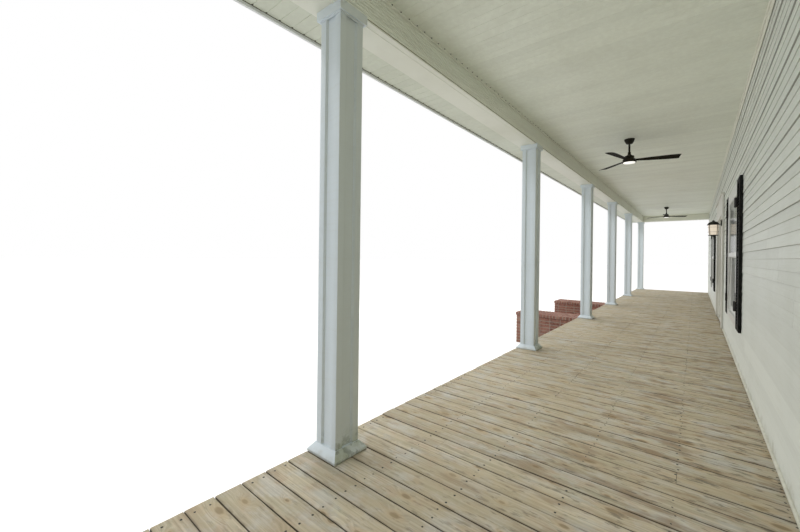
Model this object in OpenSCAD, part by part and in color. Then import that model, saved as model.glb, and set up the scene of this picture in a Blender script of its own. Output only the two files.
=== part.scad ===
// Front porch of a timber house: a deck on joists and brick piers, seven boxed
// columns under a boxed beam, a panelled ceiling with two fans, a low shed roof
// and the siding wall behind it with its door, windows, shutters and lantern.
// Millimetres. X runs from the yard to the house, Y along the porch, Z up.
// The origin is on the ground, at the middle of the whole porch.

/* [Porch] */
// Depth of the deck, from the siding to the ends of the boards
porch_depth = 2253; // [2000:1:2800]
// Height of the deck top above the ground
deck_height = 686; // [580:2:900]
// Height of the ceiling above the deck
ceiling_height = 2963; // [2750:1:3400]
// How far the deck runs past the end columns' centre lines
deck_end = 155; // [140:5:300]

/* [Column spacing] */
// Bay from the first column to the second
bay_1 = 3350; // [3100:10:3800]
// Bay from the second column to the third
bay_2 = 3390; // [3100:10:3800]
// Bay from the third column to the fourth
bay_3 = 3280; // [3100:10:3800]
// Bay in front of the door, over the steps
bay_4 = 2870; // [2700:10:3200]
// Bay from the fifth column to the sixth
bay_5 = 3040; // [2700:10:3200]
// Bay from the sixth column to the last
bay_6 = 3530; // [3100:10:3800]

/* [Columns] */
// Width of the square column shaft
shaft_width = 184; // [150:2:230]
// Distance from the deck edge to the columns' centre line
column_setback = 132; // [132:1:220]
// Width of the corner strips beside the sunk panel of a shaft's face
corner_strip = 49; // [40:1:60]
// Depth of the sunk panel in a shaft's face
panel_sink = 12; // [6:1:16]
// Width of the base skirt at the deck
base_width = 264; // [246:2:264]
// Height of the base skirt
base_height = 57; // [45:1:120]
// Height of the upright lip under the skirt's slope
base_lip = 14; // [10:1:35]
// Height of the collar at the head of a shaft
collar_height = 58; // [30:1:70]
// How far the collar stands out from the shaft
collar_stand = 20; // [5:1:30]

/* [Deck] */
// Thickness of the deck boards
board_thickness = 38; // [25:1:45]
// How far the boards run past the rim board
board_overhang = 25; // [10:1:40]
// Thickness of joists and rim boards
joist_thickness = 38; // [35:1:50]
// Depth of joists and rim boards
joist_depth = 184; // [140:2:200]
// Number of joists between the rim and the ledger
joist_count = 4; // [3:1:6]
// Width of a girder under the joists
girder_width = 114; // [90:1:140]
// Depth of a girder under the joists
girder_depth = 184; // [140:2:200]
// Width of a brick pier
pier_width = 300; // [250:5:340]

/* [Beam and ceiling] */
// Width of the boxed beam
beam_width = 240; // [220:2:280]
// Height of the beam's inner face below the ceiling
beam_face = 216; // [180:1:320]
// Thickness of the ceiling and soffit panels
panel_thickness = 12; // [9:1:20]
// Height of the moulding on the wall under the ceiling
frieze_height = 32; // [24:2:180]
// Thickness of the moulding under the ceiling
frieze_thickness = 14; // [10:1:25]

/* [Roof] */
// Rise of the roof for each unit of run
roof_slope = 0.25; // [0.2:0.01:0.35]
// Depth of a rafter, square to the slope
rafter_depth = 140; // [120:2:190]
// Thickness of a rafter
rafter_thickness = 38; // [35:1:50]
// Distance between rafters
rafter_spacing = 610; // [500:10:700]
// Height of the notch where a rafter sits on the beam
rafter_notch = 40; // [25:1:50]
// Upright thickness of the roof deck with its shingles
roof_thickness = 34; // [25:1:50]
// Width of the soffit from the beam to the fascia
eave_width = 276; // [200:2:400]
// How far the soffit lies above the beam's underside
soffit_step = 40; // [10:1:90]
// Thickness of fascia and rake boards
fascia_thickness = 20; // [16:1:30]
// How far the fascia hangs below the soffit
fascia_lip = 20; // [10:1:45]
// How far the roof edge runs past the fascia
drip_edge = 22; // [10:1:40]
// How far the roof runs past the gable walls
rake_width = 230; // [150:5:300]
// Thickness of the gable walls
gable_thickness = 90; // [70:2:120]

/* [House wall] */
// Thickness of the wall, siding to plaster
wall_thickness = 165; // [150:5:250]
// Height of the wall above the roof where it meets it
wall_above_roof = 150; // [100:10:300]
// How far the wall runs past the roof's ends
wall_past_roof = 50; // [20:5:150]

/* [Windows] */
// Distance from the door's middle to each window's middle
window_offset = 3290; // [2600:10:3400]
// Width of a window over its casing
window_width = 1440; // [1200:10:1600]
// Height of a window over its casing
window_height = 1710; // [1400:10:1900]
// Height of the window's foot above the deck
window_sill = 440; // [300:10:600]
// Width of the casing around a window
casing_width = 80; // [60:2:110]
// How far casings stand out from the siding
casing_stand = 22; // [15:1:30]
// Thickness of the lining inside a wall opening
lining_thickness = 20; // [15:1:25]
// Depth of the lining from the siding inwards
lining_depth = 90; // [80:2:120]
// Thickness of a sash
sash_thickness = 26; // [24:1:32]
// Width of a sash's stiles and rails
sash_rail = 48; // [40:2:60]
// Thickness of a pane of glass
glass_thickness = 6; // [4:1:10]

/* [Shutters] */
// Width of a shutter
shutter_width = 340; // [280:5:400]
// Thickness of a shutter
shutter_thickness = 26; // [20:1:35]
// Width of a shutter's stiles and rails
shutter_rail = 52; // [40:2:70]
// Depth of a shutter's louvred fields below its frame
shutter_recess = 10; // [6:1:14]

/* [Front door] */
// Distance from the first column's centre line to the door's middle
door_from_first_column = 11510; // [11300:10:11800]
// Width of the door leaf
door_width = 914; // [812:2:960]
// Height of the door leaf
door_height = 2032; // [1980:2:2100]
// Thickness of the door leaf
door_thickness = 45; // [40:1:50]
// Gap around the door leaf
door_gap = 6; // [5:0.5:8]
// Distance from the siding to the leaf's outer face
door_inset = 55; // [45:1:60]
// Width of the post between the door and a sidelight
mullion_width = 50; // [40:2:60]
// Width of a sidelight between its post and the outer jamb
sidelight_width = 372; // [300:4:420]
// Height of the solid panel below a sidelight's glass
sidelight_panel = 600; // [400:10:800]
// Width of the pilaster beside the door
pilaster_width = 215; // [150:5:260]
// How far the pilasters stand out from the siding
pilaster_stand = 25; // [18:1:30]
// Height of the entablature over the door
entablature_height = 320; // [200:10:400]
// Height of the threshold
threshold_height = 25; // [20:1:35]

/* [Door hinges and knob] */
// Radius of a hinge knuckle
knuckle_radius = 8; // [7:0.5:9]
// Radius of a hinge pin
pin_radius = 4.5; // [4:0.5:5]
// Running clearance around a hinge pin
pin_clearance = 0.3; // [0.2:0.1:0.5]
// Height of a hinge
hinge_height = 102; // [80:2:120]
// Thickness of a hinge plate
hinge_plate = 2.5; // [2:0.5:4]
// Radius of the door knob
knob_radius = 28; // [22:1:32]
// Height of the knob above the threshold
knob_height = 940; // [900:10:1050]

/* [Lantern] */
// Height of the lantern's middle above the deck
lantern_height = 1800; // [1700:10:2000]
// Height of the lantern from foot to cap
lantern_tall = 300; // [280:10:420]
// Radius of the lantern's body
lantern_radius = 88; // [60:2:92]
// Distance from the backplate to the lantern's axis
lantern_reach = 115; // [110:5:170]

/* [Brick steps] */
// How far the cheek walls run out from the deck edge
step_projection = 1250; // [1240:10:1500]
// Clear width between the cheek walls
step_width = 2240; // [2100:10:2300]
// Width of a cheek wall
cheek_width = 600; // [400:10:650]
// Number of treads below the deck
tread_count = 4; // [3:1:4]
// Depth of a tread
tread_depth = 305; // [280:1:310]
// Thickness of the brick cap on a cheek wall
cap_thickness = 67; // [57:1:100]
// How far the cap stands out from its wall
cap_overhang = 12; // [5:1:20]

/* [Fans] */
// Distance from the siding to the fans' axes
fan_from_wall = 1140; // [1000:2:1300]
// Distance from the first column to the near fan
near_fan_from_first_column = 7950; // [7500:5:8500]
// Distance from the first column to the far fan
far_fan_from_first_column = 16575; // [15700:5:17500]
// Length of a blade's tip circle radius
blade_reach = 600; // [580:5:760]
// Width of a blade at its tip
blade_tip_width = 128; // [90:2:150]
// Width of a blade at its root
blade_root_width = 62; // [50:2:90]
// Thickness of a blade
blade_thickness = 8; // [6:1:12]
// Pitch of a blade in degrees
blade_pitch = 11; // [6:1:15]
// Turn of the near fan's first blade from the X axis
near_blade_turn = 15; // [0:5:115]
// Turn of the far fan's first blade from the X axis
far_blade_turn = 30; // [0:5:115]
// Height of the fan's ceiling cup
cup_height = 66; // [60:1:90]
// Radius of the fan's ceiling cup
cup_radius = 65; // [60:1:95]
// Length of the rod from the cup to the motor
rod_length = 140; // [110:5:300]
// Radius of the rod
rod_radius = 13; // [10:0.5:16]
// Radius of the motor
motor_radius = 65; // [60:1:80]
// Height of the motor with its flared top
motor_height = 77; // [60:1:90]
// Radius of the turning hub
hub_radius = 82; // [78:1:90]
// Height of the turning hub
hub_height = 30; // [26:1:40]
// Radius of the fixed stem through the hub
stem_radius = 10; // [8:0.5:14]
// Gap above and below the turning hub
hub_gap = 5.5; // [5:0.5:8]
// Running clearance of the hub around its stem
stem_clearance = 0.3; // [0.2:0.1:0.5]
// Radius of the fan's lamp
lamp_radius = 90; // [80:1:100]
// Height of the lamp's metal rim
lamp_rim = 15; // [10:1:30]
// Height of the lamp's glass below its rim
lamp_glass = 13; // [8:1:45]

/* [Hidden] */
$fn = 48;

// Places across the porch, from the yard to the house
front_to_back = cap_overhang + step_projection + porch_depth + wall_thickness;
wall_back = front_to_back / 2;
wall_face = wall_back - wall_thickness;
deck_edge = wall_face - porch_depth;
rim_face = deck_edge + board_overhang;
column_x = deck_edge + column_setback;
beam_inner = column_x + shaft_width / 2;
beam_outer = beam_inner - beam_width;
fascia_inner = beam_outer - eave_width;
fascia_outer = fascia_inner - fascia_thickness;
roof_edge = fascia_outer - drip_edge;
fan_x = wall_face - fan_from_wall;

// Places along the porch
bays = [bay_1, bay_2, bay_3, bay_4, bay_5, bay_6];
function first_bays(n) = n == 0 ? 0 : bays[n - 1] + first_bays(n - 1);
column_run = first_bays(len(bays));
column_y = [for (i = [0 : len(bays)]) first_bays(i) - column_run / 2];
deck_half = column_run / 2 + deck_end;
gable_face = column_run / 2 + beam_width / 2;
end_beam_inner = column_run / 2 - beam_width / 2;
roof_half = gable_face + rake_width;
wall_half = roof_half + wall_past_roof;
door_y = door_from_first_column - column_run / 2;
window_y = [door_y - window_offset, door_y + window_offset];
near_fan_y = near_fan_from_first_column - column_run / 2;
far_fan_y = far_fan_from_first_column - column_run / 2;

// Heights
joist_top = deck_height - board_thickness;
joist_foot = joist_top - joist_depth;
girder_foot = joist_foot - girder_depth;
ceiling_z = deck_height + ceiling_height;
beam_top = ceiling_z + panel_thickness;
beam_foot = ceiling_z - beam_face;
soffit_foot = beam_foot + soffit_step;
fascia_foot = soffit_foot - fascia_lip;
rafter_rise = rafter_depth / cos(atan(roof_slope));
function rafter_under(x) = beam_top - rafter_notch + roof_slope * (x - beam_outer);
function roof_under(x) = rafter_under(x) + rafter_rise;
wall_top = roof_under(wall_face) + roof_thickness + wall_above_roof;

// Windows
casing_foot = deck_height + window_sill;
hole_width = window_width - 2 * casing_width + 2 * lining_thickness;
hole_height = window_height - 2 * casing_width + 2 * lining_thickness;
hole_foot = casing_foot + casing_width - lining_thickness;
sash_width = hole_width - 2 * lining_thickness;
sash_foot = hole_foot + lining_thickness;
sash_height = (hole_height - 2 * lining_thickness + sash_rail) / 2;
upper_sash_foot = sash_foot + sash_height - sash_rail;
sash_inset = 3;
sash_play = 2;
glass_setting = 0.4;

// Door unit
leaf_foot = deck_height + threshold_height + door_gap;
door_half = door_width / 2 + door_gap;
frame_head = leaf_foot + door_height + door_gap;
unit_half = door_half + mullion_width + sidelight_width;
wall_opening_half = unit_half + lining_thickness;
wall_opening_top = frame_head + lining_thickness;
unit_top = wall_opening_top + entablature_height;
leaf_outer = wall_face + door_inset;
leaf_inner = leaf_outer + door_thickness;
stop_depth = 18;
hinge_x = leaf_inner + knuckle_radius + 1;
hinge_y = door_y + door_width / 2 + door_gap / 2;
hinge_levels = [0.1, 0.5, 0.9];
hinge_leaf_width = 32;
lantern_y = door_y - unit_half - pilaster_width / 2;
pilaster_face = wall_face - pilaster_stand;

// Steps
riser_height = deck_height / (tread_count + 1);

// A box from one corner to the opposite one
module block(from, to) {
    translate(from) cube(to - from);
}

// A profile drawn across the porch (X, Z) and run along Y
module along_porch(from_y, to_y) {
    translate([0, to_y, 0]) rotate([90, 0, 0]) linear_extrude(to_y - from_y) children();
}

// A box centred on a column's axis
module square_block(x, y, foot, width, tall) {
    translate([x - width / 2, y - width / 2, foot]) cube([width, width, tall]);
}

module deck_boards() {
    color("BurlyWood")
        block([deck_edge, -deck_half, joist_top], [wall_face, deck_half, deck_height]);
}

joist_start = rim_face + joist_thickness;
joist_end = wall_face - joist_thickness;
joist_pitch = (joist_end - joist_start + joist_thickness) / (joist_count + 1);
rim_end = deck_half - board_overhang;

// Joists along the porch; the last one is bolted to the house as its ledger
module floor_joists() {
    color("Tan")
        for (i = [1 : joist_count + 1])
            let (x = joist_start - joist_thickness + i * joist_pitch)
                block([x, -rim_end + joist_thickness, joist_foot],
                      [x + joist_thickness, rim_end - joist_thickness, joist_top]);
}

module floor_girders() {
    color("Tan")
        for (y = column_y)
            block([rim_face, y - girder_width / 2, girder_foot],
                  [wall_face, y + girder_width / 2, joist_foot]);
}

module front_rim() {
    color("Tan")
        block([rim_face, -rim_end, joist_foot],
              [rim_face + joist_thickness, rim_end, joist_top]);
}

module end_rims() {
    color("Tan")
        for (side = [0, 1]) mirror([0, side, 0])
            block([rim_face + joist_thickness, -rim_end, joist_foot],
                  [wall_face, -rim_end + joist_thickness, joist_top]);
}

module brick_piers() {
    color("Brown")
        for (y = column_y)
            block([rim_face, y - pier_width / 2, 0],
                  [rim_face + pier_width, y + pier_width / 2, girder_foot]);
}

module foundation_wall() {
    color("Brown")
        block([wall_face, -wall_half, 0], [wall_back, wall_half, joist_top]);
}

// The hole that a window's lining fills
module window_hole(y) {
    block([wall_face - 1, y - hole_width / 2, hole_foot],
          [wall_back + 1, y + hole_width / 2, hole_foot + hole_height]);
}

module near_wall() {
    color("Ivory") difference() {
        block([wall_face, -wall_half, joist_top],
              [wall_back, door_y - wall_opening_half, wall_top]);
        window_hole(window_y[0]);
    }
}

module far_wall() {
    color("Ivory") difference() {
        block([wall_face, door_y + wall_opening_half, joist_top],
              [wall_back, wall_half, wall_top]);
        window_hole(window_y[1]);
    }
}

module over_door_wall() {
    color("Ivory")
        block([wall_face, door_y - wall_opening_half, wall_opening_top],
              [wall_back, door_y + wall_opening_half, wall_top]);
}

module frieze_board() {
    color("Ivory")
        block([wall_face - frieze_thickness, -end_beam_inner, ceiling_z - frieze_height],
              [wall_face, end_beam_inner, ceiling_z]);
}

// A square shaft with a sunk panel in every face, from its skirt to its collar
module column_shaft(y) {
    panel_width = shaft_width - 2 * corner_strip;
    color("WhiteSmoke") difference() {
        square_block(column_x, y, deck_height, shaft_width, beam_foot - deck_height);
        for (turn = [0 : 90 : 270])
            translate([column_x, y, deck_height + base_height]) rotate(turn)
                translate([-panel_width / 2, shaft_width / 2 - panel_sink, 0])
                    cube([panel_width, panel_sink + 1,
                          beam_foot - deck_height - base_height - collar_height]);
    }
}

// A sloping skirt around a shaft's foot
module column_base(y) {
    difference() {
        union() {
            square_block(column_x, y, deck_height, base_width, base_lip);
            translate([column_x, y, deck_height + base_lip])
                linear_extrude(base_height - base_lip, scale = (shaft_width + 8) / base_width)
                    square(base_width, center = true);
        }
        square_block(column_x, y, deck_height - 1, shaft_width, base_height + 2);
    }
}

module column_bases() {
    color("WhiteSmoke") for (y = column_y) column_base(y);
}

// A flat collar around a shaft's head, under the beam
module column_collars() {
    color("WhiteSmoke")
        for (y = column_y) difference() {
            square_block(column_x, y, beam_foot - collar_height,
                         shaft_width + 2 * collar_stand, collar_height);
            square_block(column_x, y, beam_foot - collar_height - 1,
                         shaft_width, collar_height + 2);
        }
}

module front_beam() {
    color("Ivory")
        block([beam_outer, -gable_face, beam_foot], [beam_inner, gable_face, beam_top]);
}

module end_beams() {
    color("Ivory")
        for (side = [0, 1]) mirror([0, side, 0])
            block([beam_inner, -gable_face, beam_foot], [wall_face, -end_beam_inner, beam_top]);
}

module porch_ceiling() {
    color("Ivory")
        block([beam_inner, -end_beam_inner, ceiling_z], [wall_face, end_beam_inner, beam_top]);
}

rake_inner = roof_half - fascia_thickness;

module eave_soffit() {
    color("Ivory")
        block([fascia_inner, -rake_inner, soffit_foot],
              [beam_outer, rake_inner, soffit_foot + panel_thickness]);
}

module fascia_board() {
    color("White")
        along_porch(-rake_inner, rake_inner)
            polygon([[fascia_outer, fascia_foot], [fascia_inner, fascia_foot],
                     [fascia_inner, roof_under(fascia_inner)],
                     [fascia_outer, roof_under(fascia_outer)]]);
}

// Closed ends of the roof space, down to the beam and over the soffit
module gable_outline() {
    polygon([[fascia_inner, soffit_foot + panel_thickness],
             [beam_outer, soffit_foot + panel_thickness],
             [beam_outer, beam_top], [wall_face, beam_top],
             [wall_face, roof_under(wall_face)],
             [fascia_inner, roof_under(fascia_inner)]]);
}

module gable_walls() {
    color("Ivory")
        for (side = [0, 1]) mirror([0, side, 0])
            along_porch(-gable_face, -gable_face + gable_thickness) gable_outline();
}

// A sloping board under the roof's end, deep enough at the eave to close it
module rake_outline() {
    polygon([[fascia_outer, fascia_foot], [beam_outer, fascia_foot],
             [beam_outer, rafter_under(beam_outer)],
             [wall_face, rafter_under(wall_face)],
             [wall_face, roof_under(wall_face)],
             [fascia_outer, roof_under(fascia_outer)]]);
}

module rake_boards() {
    color("White")
        for (side = [0, 1]) mirror([0, side, 0])
            along_porch(-roof_half, -rake_inner) rake_outline();
}

// The underside of the roof's ends, with the short riser down to the eave soffit
module rake_soffit_outline() {
    polygon([[beam_outer - panel_thickness, soffit_foot + panel_thickness],
             [beam_outer, soffit_foot + panel_thickness],
             [beam_outer, rafter_under(beam_outer)],
             [wall_face, rafter_under(wall_face)],
             [wall_face, rafter_under(wall_face) + panel_thickness],
             [beam_outer - panel_thickness,
              rafter_under(beam_outer - panel_thickness) + panel_thickness]]);
}

module rake_soffits() {
    color("Ivory")
        for (side = [0, 1]) mirror([0, side, 0])
            along_porch(-rake_inner, -gable_face) rake_soffit_outline();
}

// A rafter notched over the beam, from the fascia to the house wall
module rafter_outline() {
    seat_end = beam_outer + rafter_notch / roof_slope;
    polygon([[fascia_inner, rafter_under(fascia_inner)],
             [beam_outer, rafter_under(beam_outer)], [beam_outer, beam_top],
             [seat_end, beam_top], [wall_face, rafter_under(wall_face)],
             [wall_face, roof_under(wall_face)],
             [fascia_inner, roof_under(fascia_inner)]]);
}

rafter_bays = ceil(2 * (gable_face - gable_thickness) / rafter_spacing);
rafter_pitch = 2 * (gable_face - gable_thickness) / rafter_bays;

module roof_rafters() {
    color("Tan")
        for (i = [1 : rafter_bays - 1])
            let (y = -gable_face + gable_thickness + i * rafter_pitch)
                along_porch(y - rafter_thickness / 2, y + rafter_thickness / 2)
                    rafter_outline();
}

module roof_deck() {
    color("DimGray")
        along_porch(-roof_half, roof_half)
            polygon([[roof_edge, roof_under(roof_edge)], [wall_face, roof_under(wall_face)],
                     [wall_face, roof_under(wall_face) + roof_thickness],
                     [roof_edge, roof_under(roof_edge) + roof_thickness]]);
}

// A rectangular ring facing the yard
module ring(from_x, to_x, y, foot, wide, tall, rail) {
    difference() {
        block([from_x, y - wide / 2, foot], [to_x, y + wide / 2, foot + tall]);
        block([from_x - 1, y - wide / 2 + rail, foot + rail],
              [to_x + 1, y + wide / 2 - rail, foot + tall - rail]);
    }
}

upper_sash_x = wall_face - casing_stand + sash_inset;
lower_sash_x = upper_sash_x + sash_thickness + sash_play;

// Casing, lining, an upper sash outside and a lower sash inside
module window_frame(y) {
    color("White") {
        ring(wall_face - casing_stand, wall_face, y, casing_foot,
             window_width, window_height, casing_width);
        ring(wall_face, wall_face + lining_depth, y, hole_foot,
             hole_width, hole_height, lining_thickness);
        ring(upper_sash_x, upper_sash_x + sash_thickness, y, upper_sash_foot,
             sash_width, sash_height, sash_rail);
        ring(lower_sash_x, lower_sash_x + sash_thickness, y, sash_foot,
             sash_width, sash_height, sash_rail);
    }
}

// A pane held in its sash, a little nearer the outer face
module pane(from_x, y, foot, wide, tall) {
    middle = from_x + sash_thickness * glass_setting;
    block([middle - glass_thickness / 2, y - wide / 2, foot],
          [middle + glass_thickness / 2, y + wide / 2, foot + tall]);
}

sidelight_y = [door_y - door_half - mullion_width - sidelight_width / 2,
               door_y + door_half + mullion_width + sidelight_width / 2];
sidelight_sash_foot = deck_height + threshold_height + sidelight_panel;
sidelight_sash_height = frame_head - sidelight_sash_foot;
sidelight_x = leaf_outer;

module window_glass() {
    pane_width = sash_width - 2 * sash_rail;
    pane_height = sash_height - 2 * sash_rail;
    color("SlateGray") {
        for (y = window_y) {
            pane(upper_sash_x, y, upper_sash_foot + sash_rail, pane_width, pane_height);
            pane(lower_sash_x, y, sash_foot + sash_rail, pane_width, pane_height);
        }
        for (y = sidelight_y)
            pane(sidelight_x, y, sidelight_sash_foot + sash_rail,
                 sidelight_width - 2 * sash_rail, sidelight_sash_height - 2 * sash_rail);
    }
}

// A framed shutter with two sunk fields
module shutter(y) {
    face = wall_face - shutter_thickness;
    field_height = (window_height - 3 * shutter_rail) / 2;
    color("DarkSlateGray") difference() {
        block([face, y - shutter_width / 2, casing_foot],
              [wall_face, y + shutter_width / 2, casing_foot + window_height]);
        for (i = [0, 1])
            let (foot = casing_foot + shutter_rail + i * (field_height + shutter_rail))
                block([face - 1, y - shutter_width / 2 + shutter_rail, foot],
                      [face + shutter_recess, y + shutter_width / 2 - shutter_rail,
                       foot + field_height]);
    }
}

module window_shutters() {
    for (y = window_y, side = [-1, 1]) shutter(y + side * (window_width + shutter_width) / 2);
}

// Jambs, head, threshold, sidelight frames, pilasters and entablature
module door_frame() {
    frame_depth = door_inset + door_thickness;
    color("White") {
        // Outer jambs and the head inside the wall opening
        for (side = [-1, 1])
            block([wall_face, door_y + min(side * unit_half, side * wall_opening_half),
                   joist_top + board_thickness],
                  [wall_face + frame_depth,
                   door_y + max(side * unit_half, side * wall_opening_half), wall_opening_top]);
        block([wall_face, door_y - unit_half, frame_head],
              [wall_face + frame_depth, door_y + unit_half, wall_opening_top]);
        // Threshold
        block([wall_face, door_y - unit_half, deck_height],
              [wall_back, door_y + unit_half, deck_height + threshold_height]);
        // Posts between the door and its sidelights, with the door stops
        for (side = [-1, 1]) {
            block([wall_face, door_y + min(side * door_half, side * (door_half + mullion_width)),
                   deck_height + threshold_height],
                  [wall_face + frame_depth,
                   door_y + max(side * door_half, side * (door_half + mullion_width)), frame_head]);
            block([leaf_outer - door_gap - stop_depth,
                   door_y + min(side * door_half, side * (door_half - stop_depth)),
                   deck_height + threshold_height],
                  [leaf_outer - door_gap,
                   door_y + max(side * door_half, side * (door_half - stop_depth)), frame_head]);
        }
        // Sidelight sashes over solid panels
        for (y = sidelight_y) {
            block([sidelight_x, y - sidelight_width / 2, deck_height + threshold_height],
                  [sidelight_x + sash_thickness, y + sidelight_width / 2, sidelight_sash_foot]);
            ring(sidelight_x, sidelight_x + sash_thickness, y, sidelight_sash_foot,
                 sidelight_width, sidelight_sash_height, sash_rail);
        }
        // Pilasters, entablature and its cornice
        for (side = [-1, 1])
            block([pilaster_face,
                   door_y + min(side * unit_half, side * (unit_half + pilaster_width)), deck_height],
                  [wall_face,
                   door_y + max(side * unit_half, side * (unit_half + pilaster_width)),
                   frame_head]);
        block([pilaster_face, door_y - unit_half - pilaster_width, frame_head],
              [wall_face, door_y + unit_half + pilaster_width, unit_top]);
        block([pilaster_face - pilaster_stand, door_y - unit_half - pilaster_width - pilaster_stand,
               unit_top],
              [wall_face, door_y + unit_half + pilaster_width + pilaster_stand,
               unit_top + pilaster_stand]);
    }
}

door_panel_recess = 8;
door_stile = 115;

// A panelled leaf with the knuckle of each hinge on its inner face
module front_door() {
    panel_wide = (door_width - 3 * door_stile) / 2;
    panel_rows = [[0.10, 0.36], [0.46, 0.80], [0.855, 0.945]];
    color("White") difference() {
        union() {
            block([leaf_outer, door_y - door_width / 2, leaf_foot],
                  [leaf_inner, door_y + door_width / 2, leaf_foot + door_height]);
            for (level = hinge_levels) translate([hinge_x, hinge_y, leaf_foot + level * door_height]) {
                cylinder(r = knuckle_radius, h = hinge_height / 3, center = true);
                translate([leaf_inner - hinge_x, -hinge_leaf_width, -hinge_height / 6])
                    cube([hinge_plate, hinge_leaf_width, hinge_height / 3]);
            }
        }
        for (side = [-1, 1], row = panel_rows)
            let (y = door_y + side * (panel_wide + door_stile) / 2)
                block([leaf_outer - 1, y - panel_wide / 2, leaf_foot + row[0] * door_height],
                      [leaf_outer + door_panel_recess, y + panel_wide / 2,
                       leaf_foot + row[1] * door_height]);
        for (level = hinge_levels) translate([hinge_x, hinge_y, leaf_foot + level * door_height])
            cylinder(r = pin_radius + pin_clearance, h = hinge_height, center = true);
    }
}

// Fixed hinge halves: a pin between two knuckles and plates on the post's inner face
module door_hinges() {
    outer_knuckle = hinge_height / 3 - 2 * pin_clearance;
    color("DarkSlateGray")
        for (level = hinge_levels) translate([hinge_x, hinge_y, leaf_foot + level * door_height]) {
            cylinder(r = pin_radius, h = hinge_height, center = true);
            for (side = [-1, 1]) translate([0, 0, side * hinge_height / 3]) {
                cylinder(r = knuckle_radius, h = outer_knuckle, center = true);
                translate([leaf_inner - hinge_x, door_gap / 2, -outer_knuckle / 2])
                    cube([hinge_plate, hinge_leaf_width, outer_knuckle]);
                translate([leaf_inner - hinge_x, 0, -outer_knuckle / 2])
                    cube([hinge_plate, hinge_leaf_width, outer_knuckle]);
            }
        }
}

// A round knob on a rose, on both faces of the leaf
module knob_half() {
    rotate_extrude()
        polygon(concat([[0, 0], [knob_radius, 0], [knob_radius, 4], [12, 8], [10, 26]],
                       [for (a = [-60 : 15 : 90]) [knob_radius * cos(a), 44 + 18 * sin(a)]],
                       [[0, 62]]));
}

module door_knob() {
    backset = 70;
    color("DimGray") translate([0, door_y - door_width / 2 + backset,
                                deck_height + threshold_height + knob_height]) {
        translate([leaf_outer, 0, 0]) rotate([0, -90, 0]) knob_half();
        translate([leaf_inner, 0, 0]) rotate([0, 90, 0]) knob_half();
    }
}

// A hooded lantern on an arm from its backplate
module wall_lantern() {
    plate_wide = 115;
    plate_tall = 120;
    plate_thickness = 14;
    arm_radius = 8;
    cap_height = 90;
    foot_height = 28;
    foot = deck_height + lantern_height - lantern_tall / 2;
    plate_middle = foot + lantern_tall - cap_height * 0.6;
    axis_x = pilaster_face - lantern_reach;
    color("Black") {
        block([pilaster_face - plate_thickness, lantern_y - plate_wide / 2,
               plate_middle - plate_tall / 2],
              [pilaster_face, lantern_y + plate_wide / 2, plate_middle + plate_tall / 2]);
        translate([axis_x, lantern_y, plate_middle]) rotate([0, 90, 0])
            cylinder(r = arm_radius, h = lantern_reach - plate_thickness + 1);
        translate([axis_x, lantern_y, foot]) rotate_extrude()
            polygon([[0, 0], [lantern_radius * 0.5, 0], [lantern_radius * 0.8, foot_height],
                     [lantern_radius * 0.95, lantern_tall - cap_height],
                     [lantern_radius, lantern_tall - cap_height],
                     [lantern_radius * 0.8, lantern_tall - cap_height * 0.35],
                     [lantern_radius * 0.3, lantern_tall], [0, lantern_tall]]);
    }
}

module brick_steps() {
    color("Brown")
        for (i = [1 : tread_count])
            block([deck_edge - (tread_count + 1 - i) * tread_depth, door_y - step_width / 2, 0],
                  [deck_edge, door_y + step_width / 2, i * riser_height]);
}

// A brick wall on both sides of the steps, its cap standing out over the front
// and the outer side
module cheek_walls() {
    from_x = deck_edge - step_projection;
    color("Brown")
        translate([0, door_y, 0]) for (side = [0, 1]) mirror([0, side, 0]) {
            block([from_x, step_width / 2, 0],
                  [deck_edge, step_width / 2 + cheek_width, deck_height]);
            block([from_x - cap_overhang, step_width / 2, deck_height - cap_thickness],
                  [deck_edge, step_width / 2 + cheek_width + cap_overhang, deck_height]);
        }
}

// Heights down a fan, from the ceiling
fan_levels = let (rod_top = ceiling_z - cup_height, motor_top = rod_top - rod_length,
                  motor_foot = motor_top - motor_height, hub_top = motor_foot - hub_gap,
                  hub_foot = hub_top - hub_height, lamp_top = hub_foot - hub_gap)
    [rod_top, motor_top, motor_foot, hub_top, hub_foot, lamp_top];

// Ceiling cup, rod, motor and the fixed stem that holds the lamp, for each fan
module fan_mounts() {
    color("Black") for (y = [near_fan_y, far_fan_y]) translate([fan_x, y, 0]) {
        translate([0, 0, fan_levels[0]])
            cylinder(r1 = cup_radius * 0.6, r2 = cup_radius, h = cup_height);
        translate([0, 0, fan_levels[1]]) cylinder(r = rod_radius, h = rod_length);
        translate([0, 0, fan_levels[2] + motor_height / 2])
            cylinder(r1 = motor_radius * 0.7, r2 = rod_radius + 6, h = motor_height / 2);
        translate([0, 0, fan_levels[2]]) cylinder(r = motor_radius, h = motor_height / 2);
        translate([0, 0, fan_levels[5]])
            cylinder(r = stem_radius, h = fan_levels[2] - fan_levels[5]);
    }
}

// Three pitched blades that widen to a square tip, on a hub bored for the stem
module fan_blades(y, turn) {
    color("Black") translate([fan_x, y, fan_levels[4]]) difference() {
        union() {
            cylinder(r = hub_radius, h = hub_height);
            for (i = [0 : 2]) rotate(turn + i * 120)
                translate([0, 0, hub_height / 2]) rotate([-blade_pitch, 0, 0])
                    translate([0, 0, -blade_thickness / 2]) linear_extrude(blade_thickness)
                        polygon([[hub_radius / 2, -blade_root_width / 2],
                                 [blade_reach, -blade_tip_width / 2],
                                 [blade_reach, blade_tip_width / 2],
                                 [hub_radius / 2, blade_root_width / 2]]);
        }
        translate([0, 0, -1]) cylinder(r = stem_radius + stem_clearance, h = hub_height + 2);
    }
}

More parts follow.
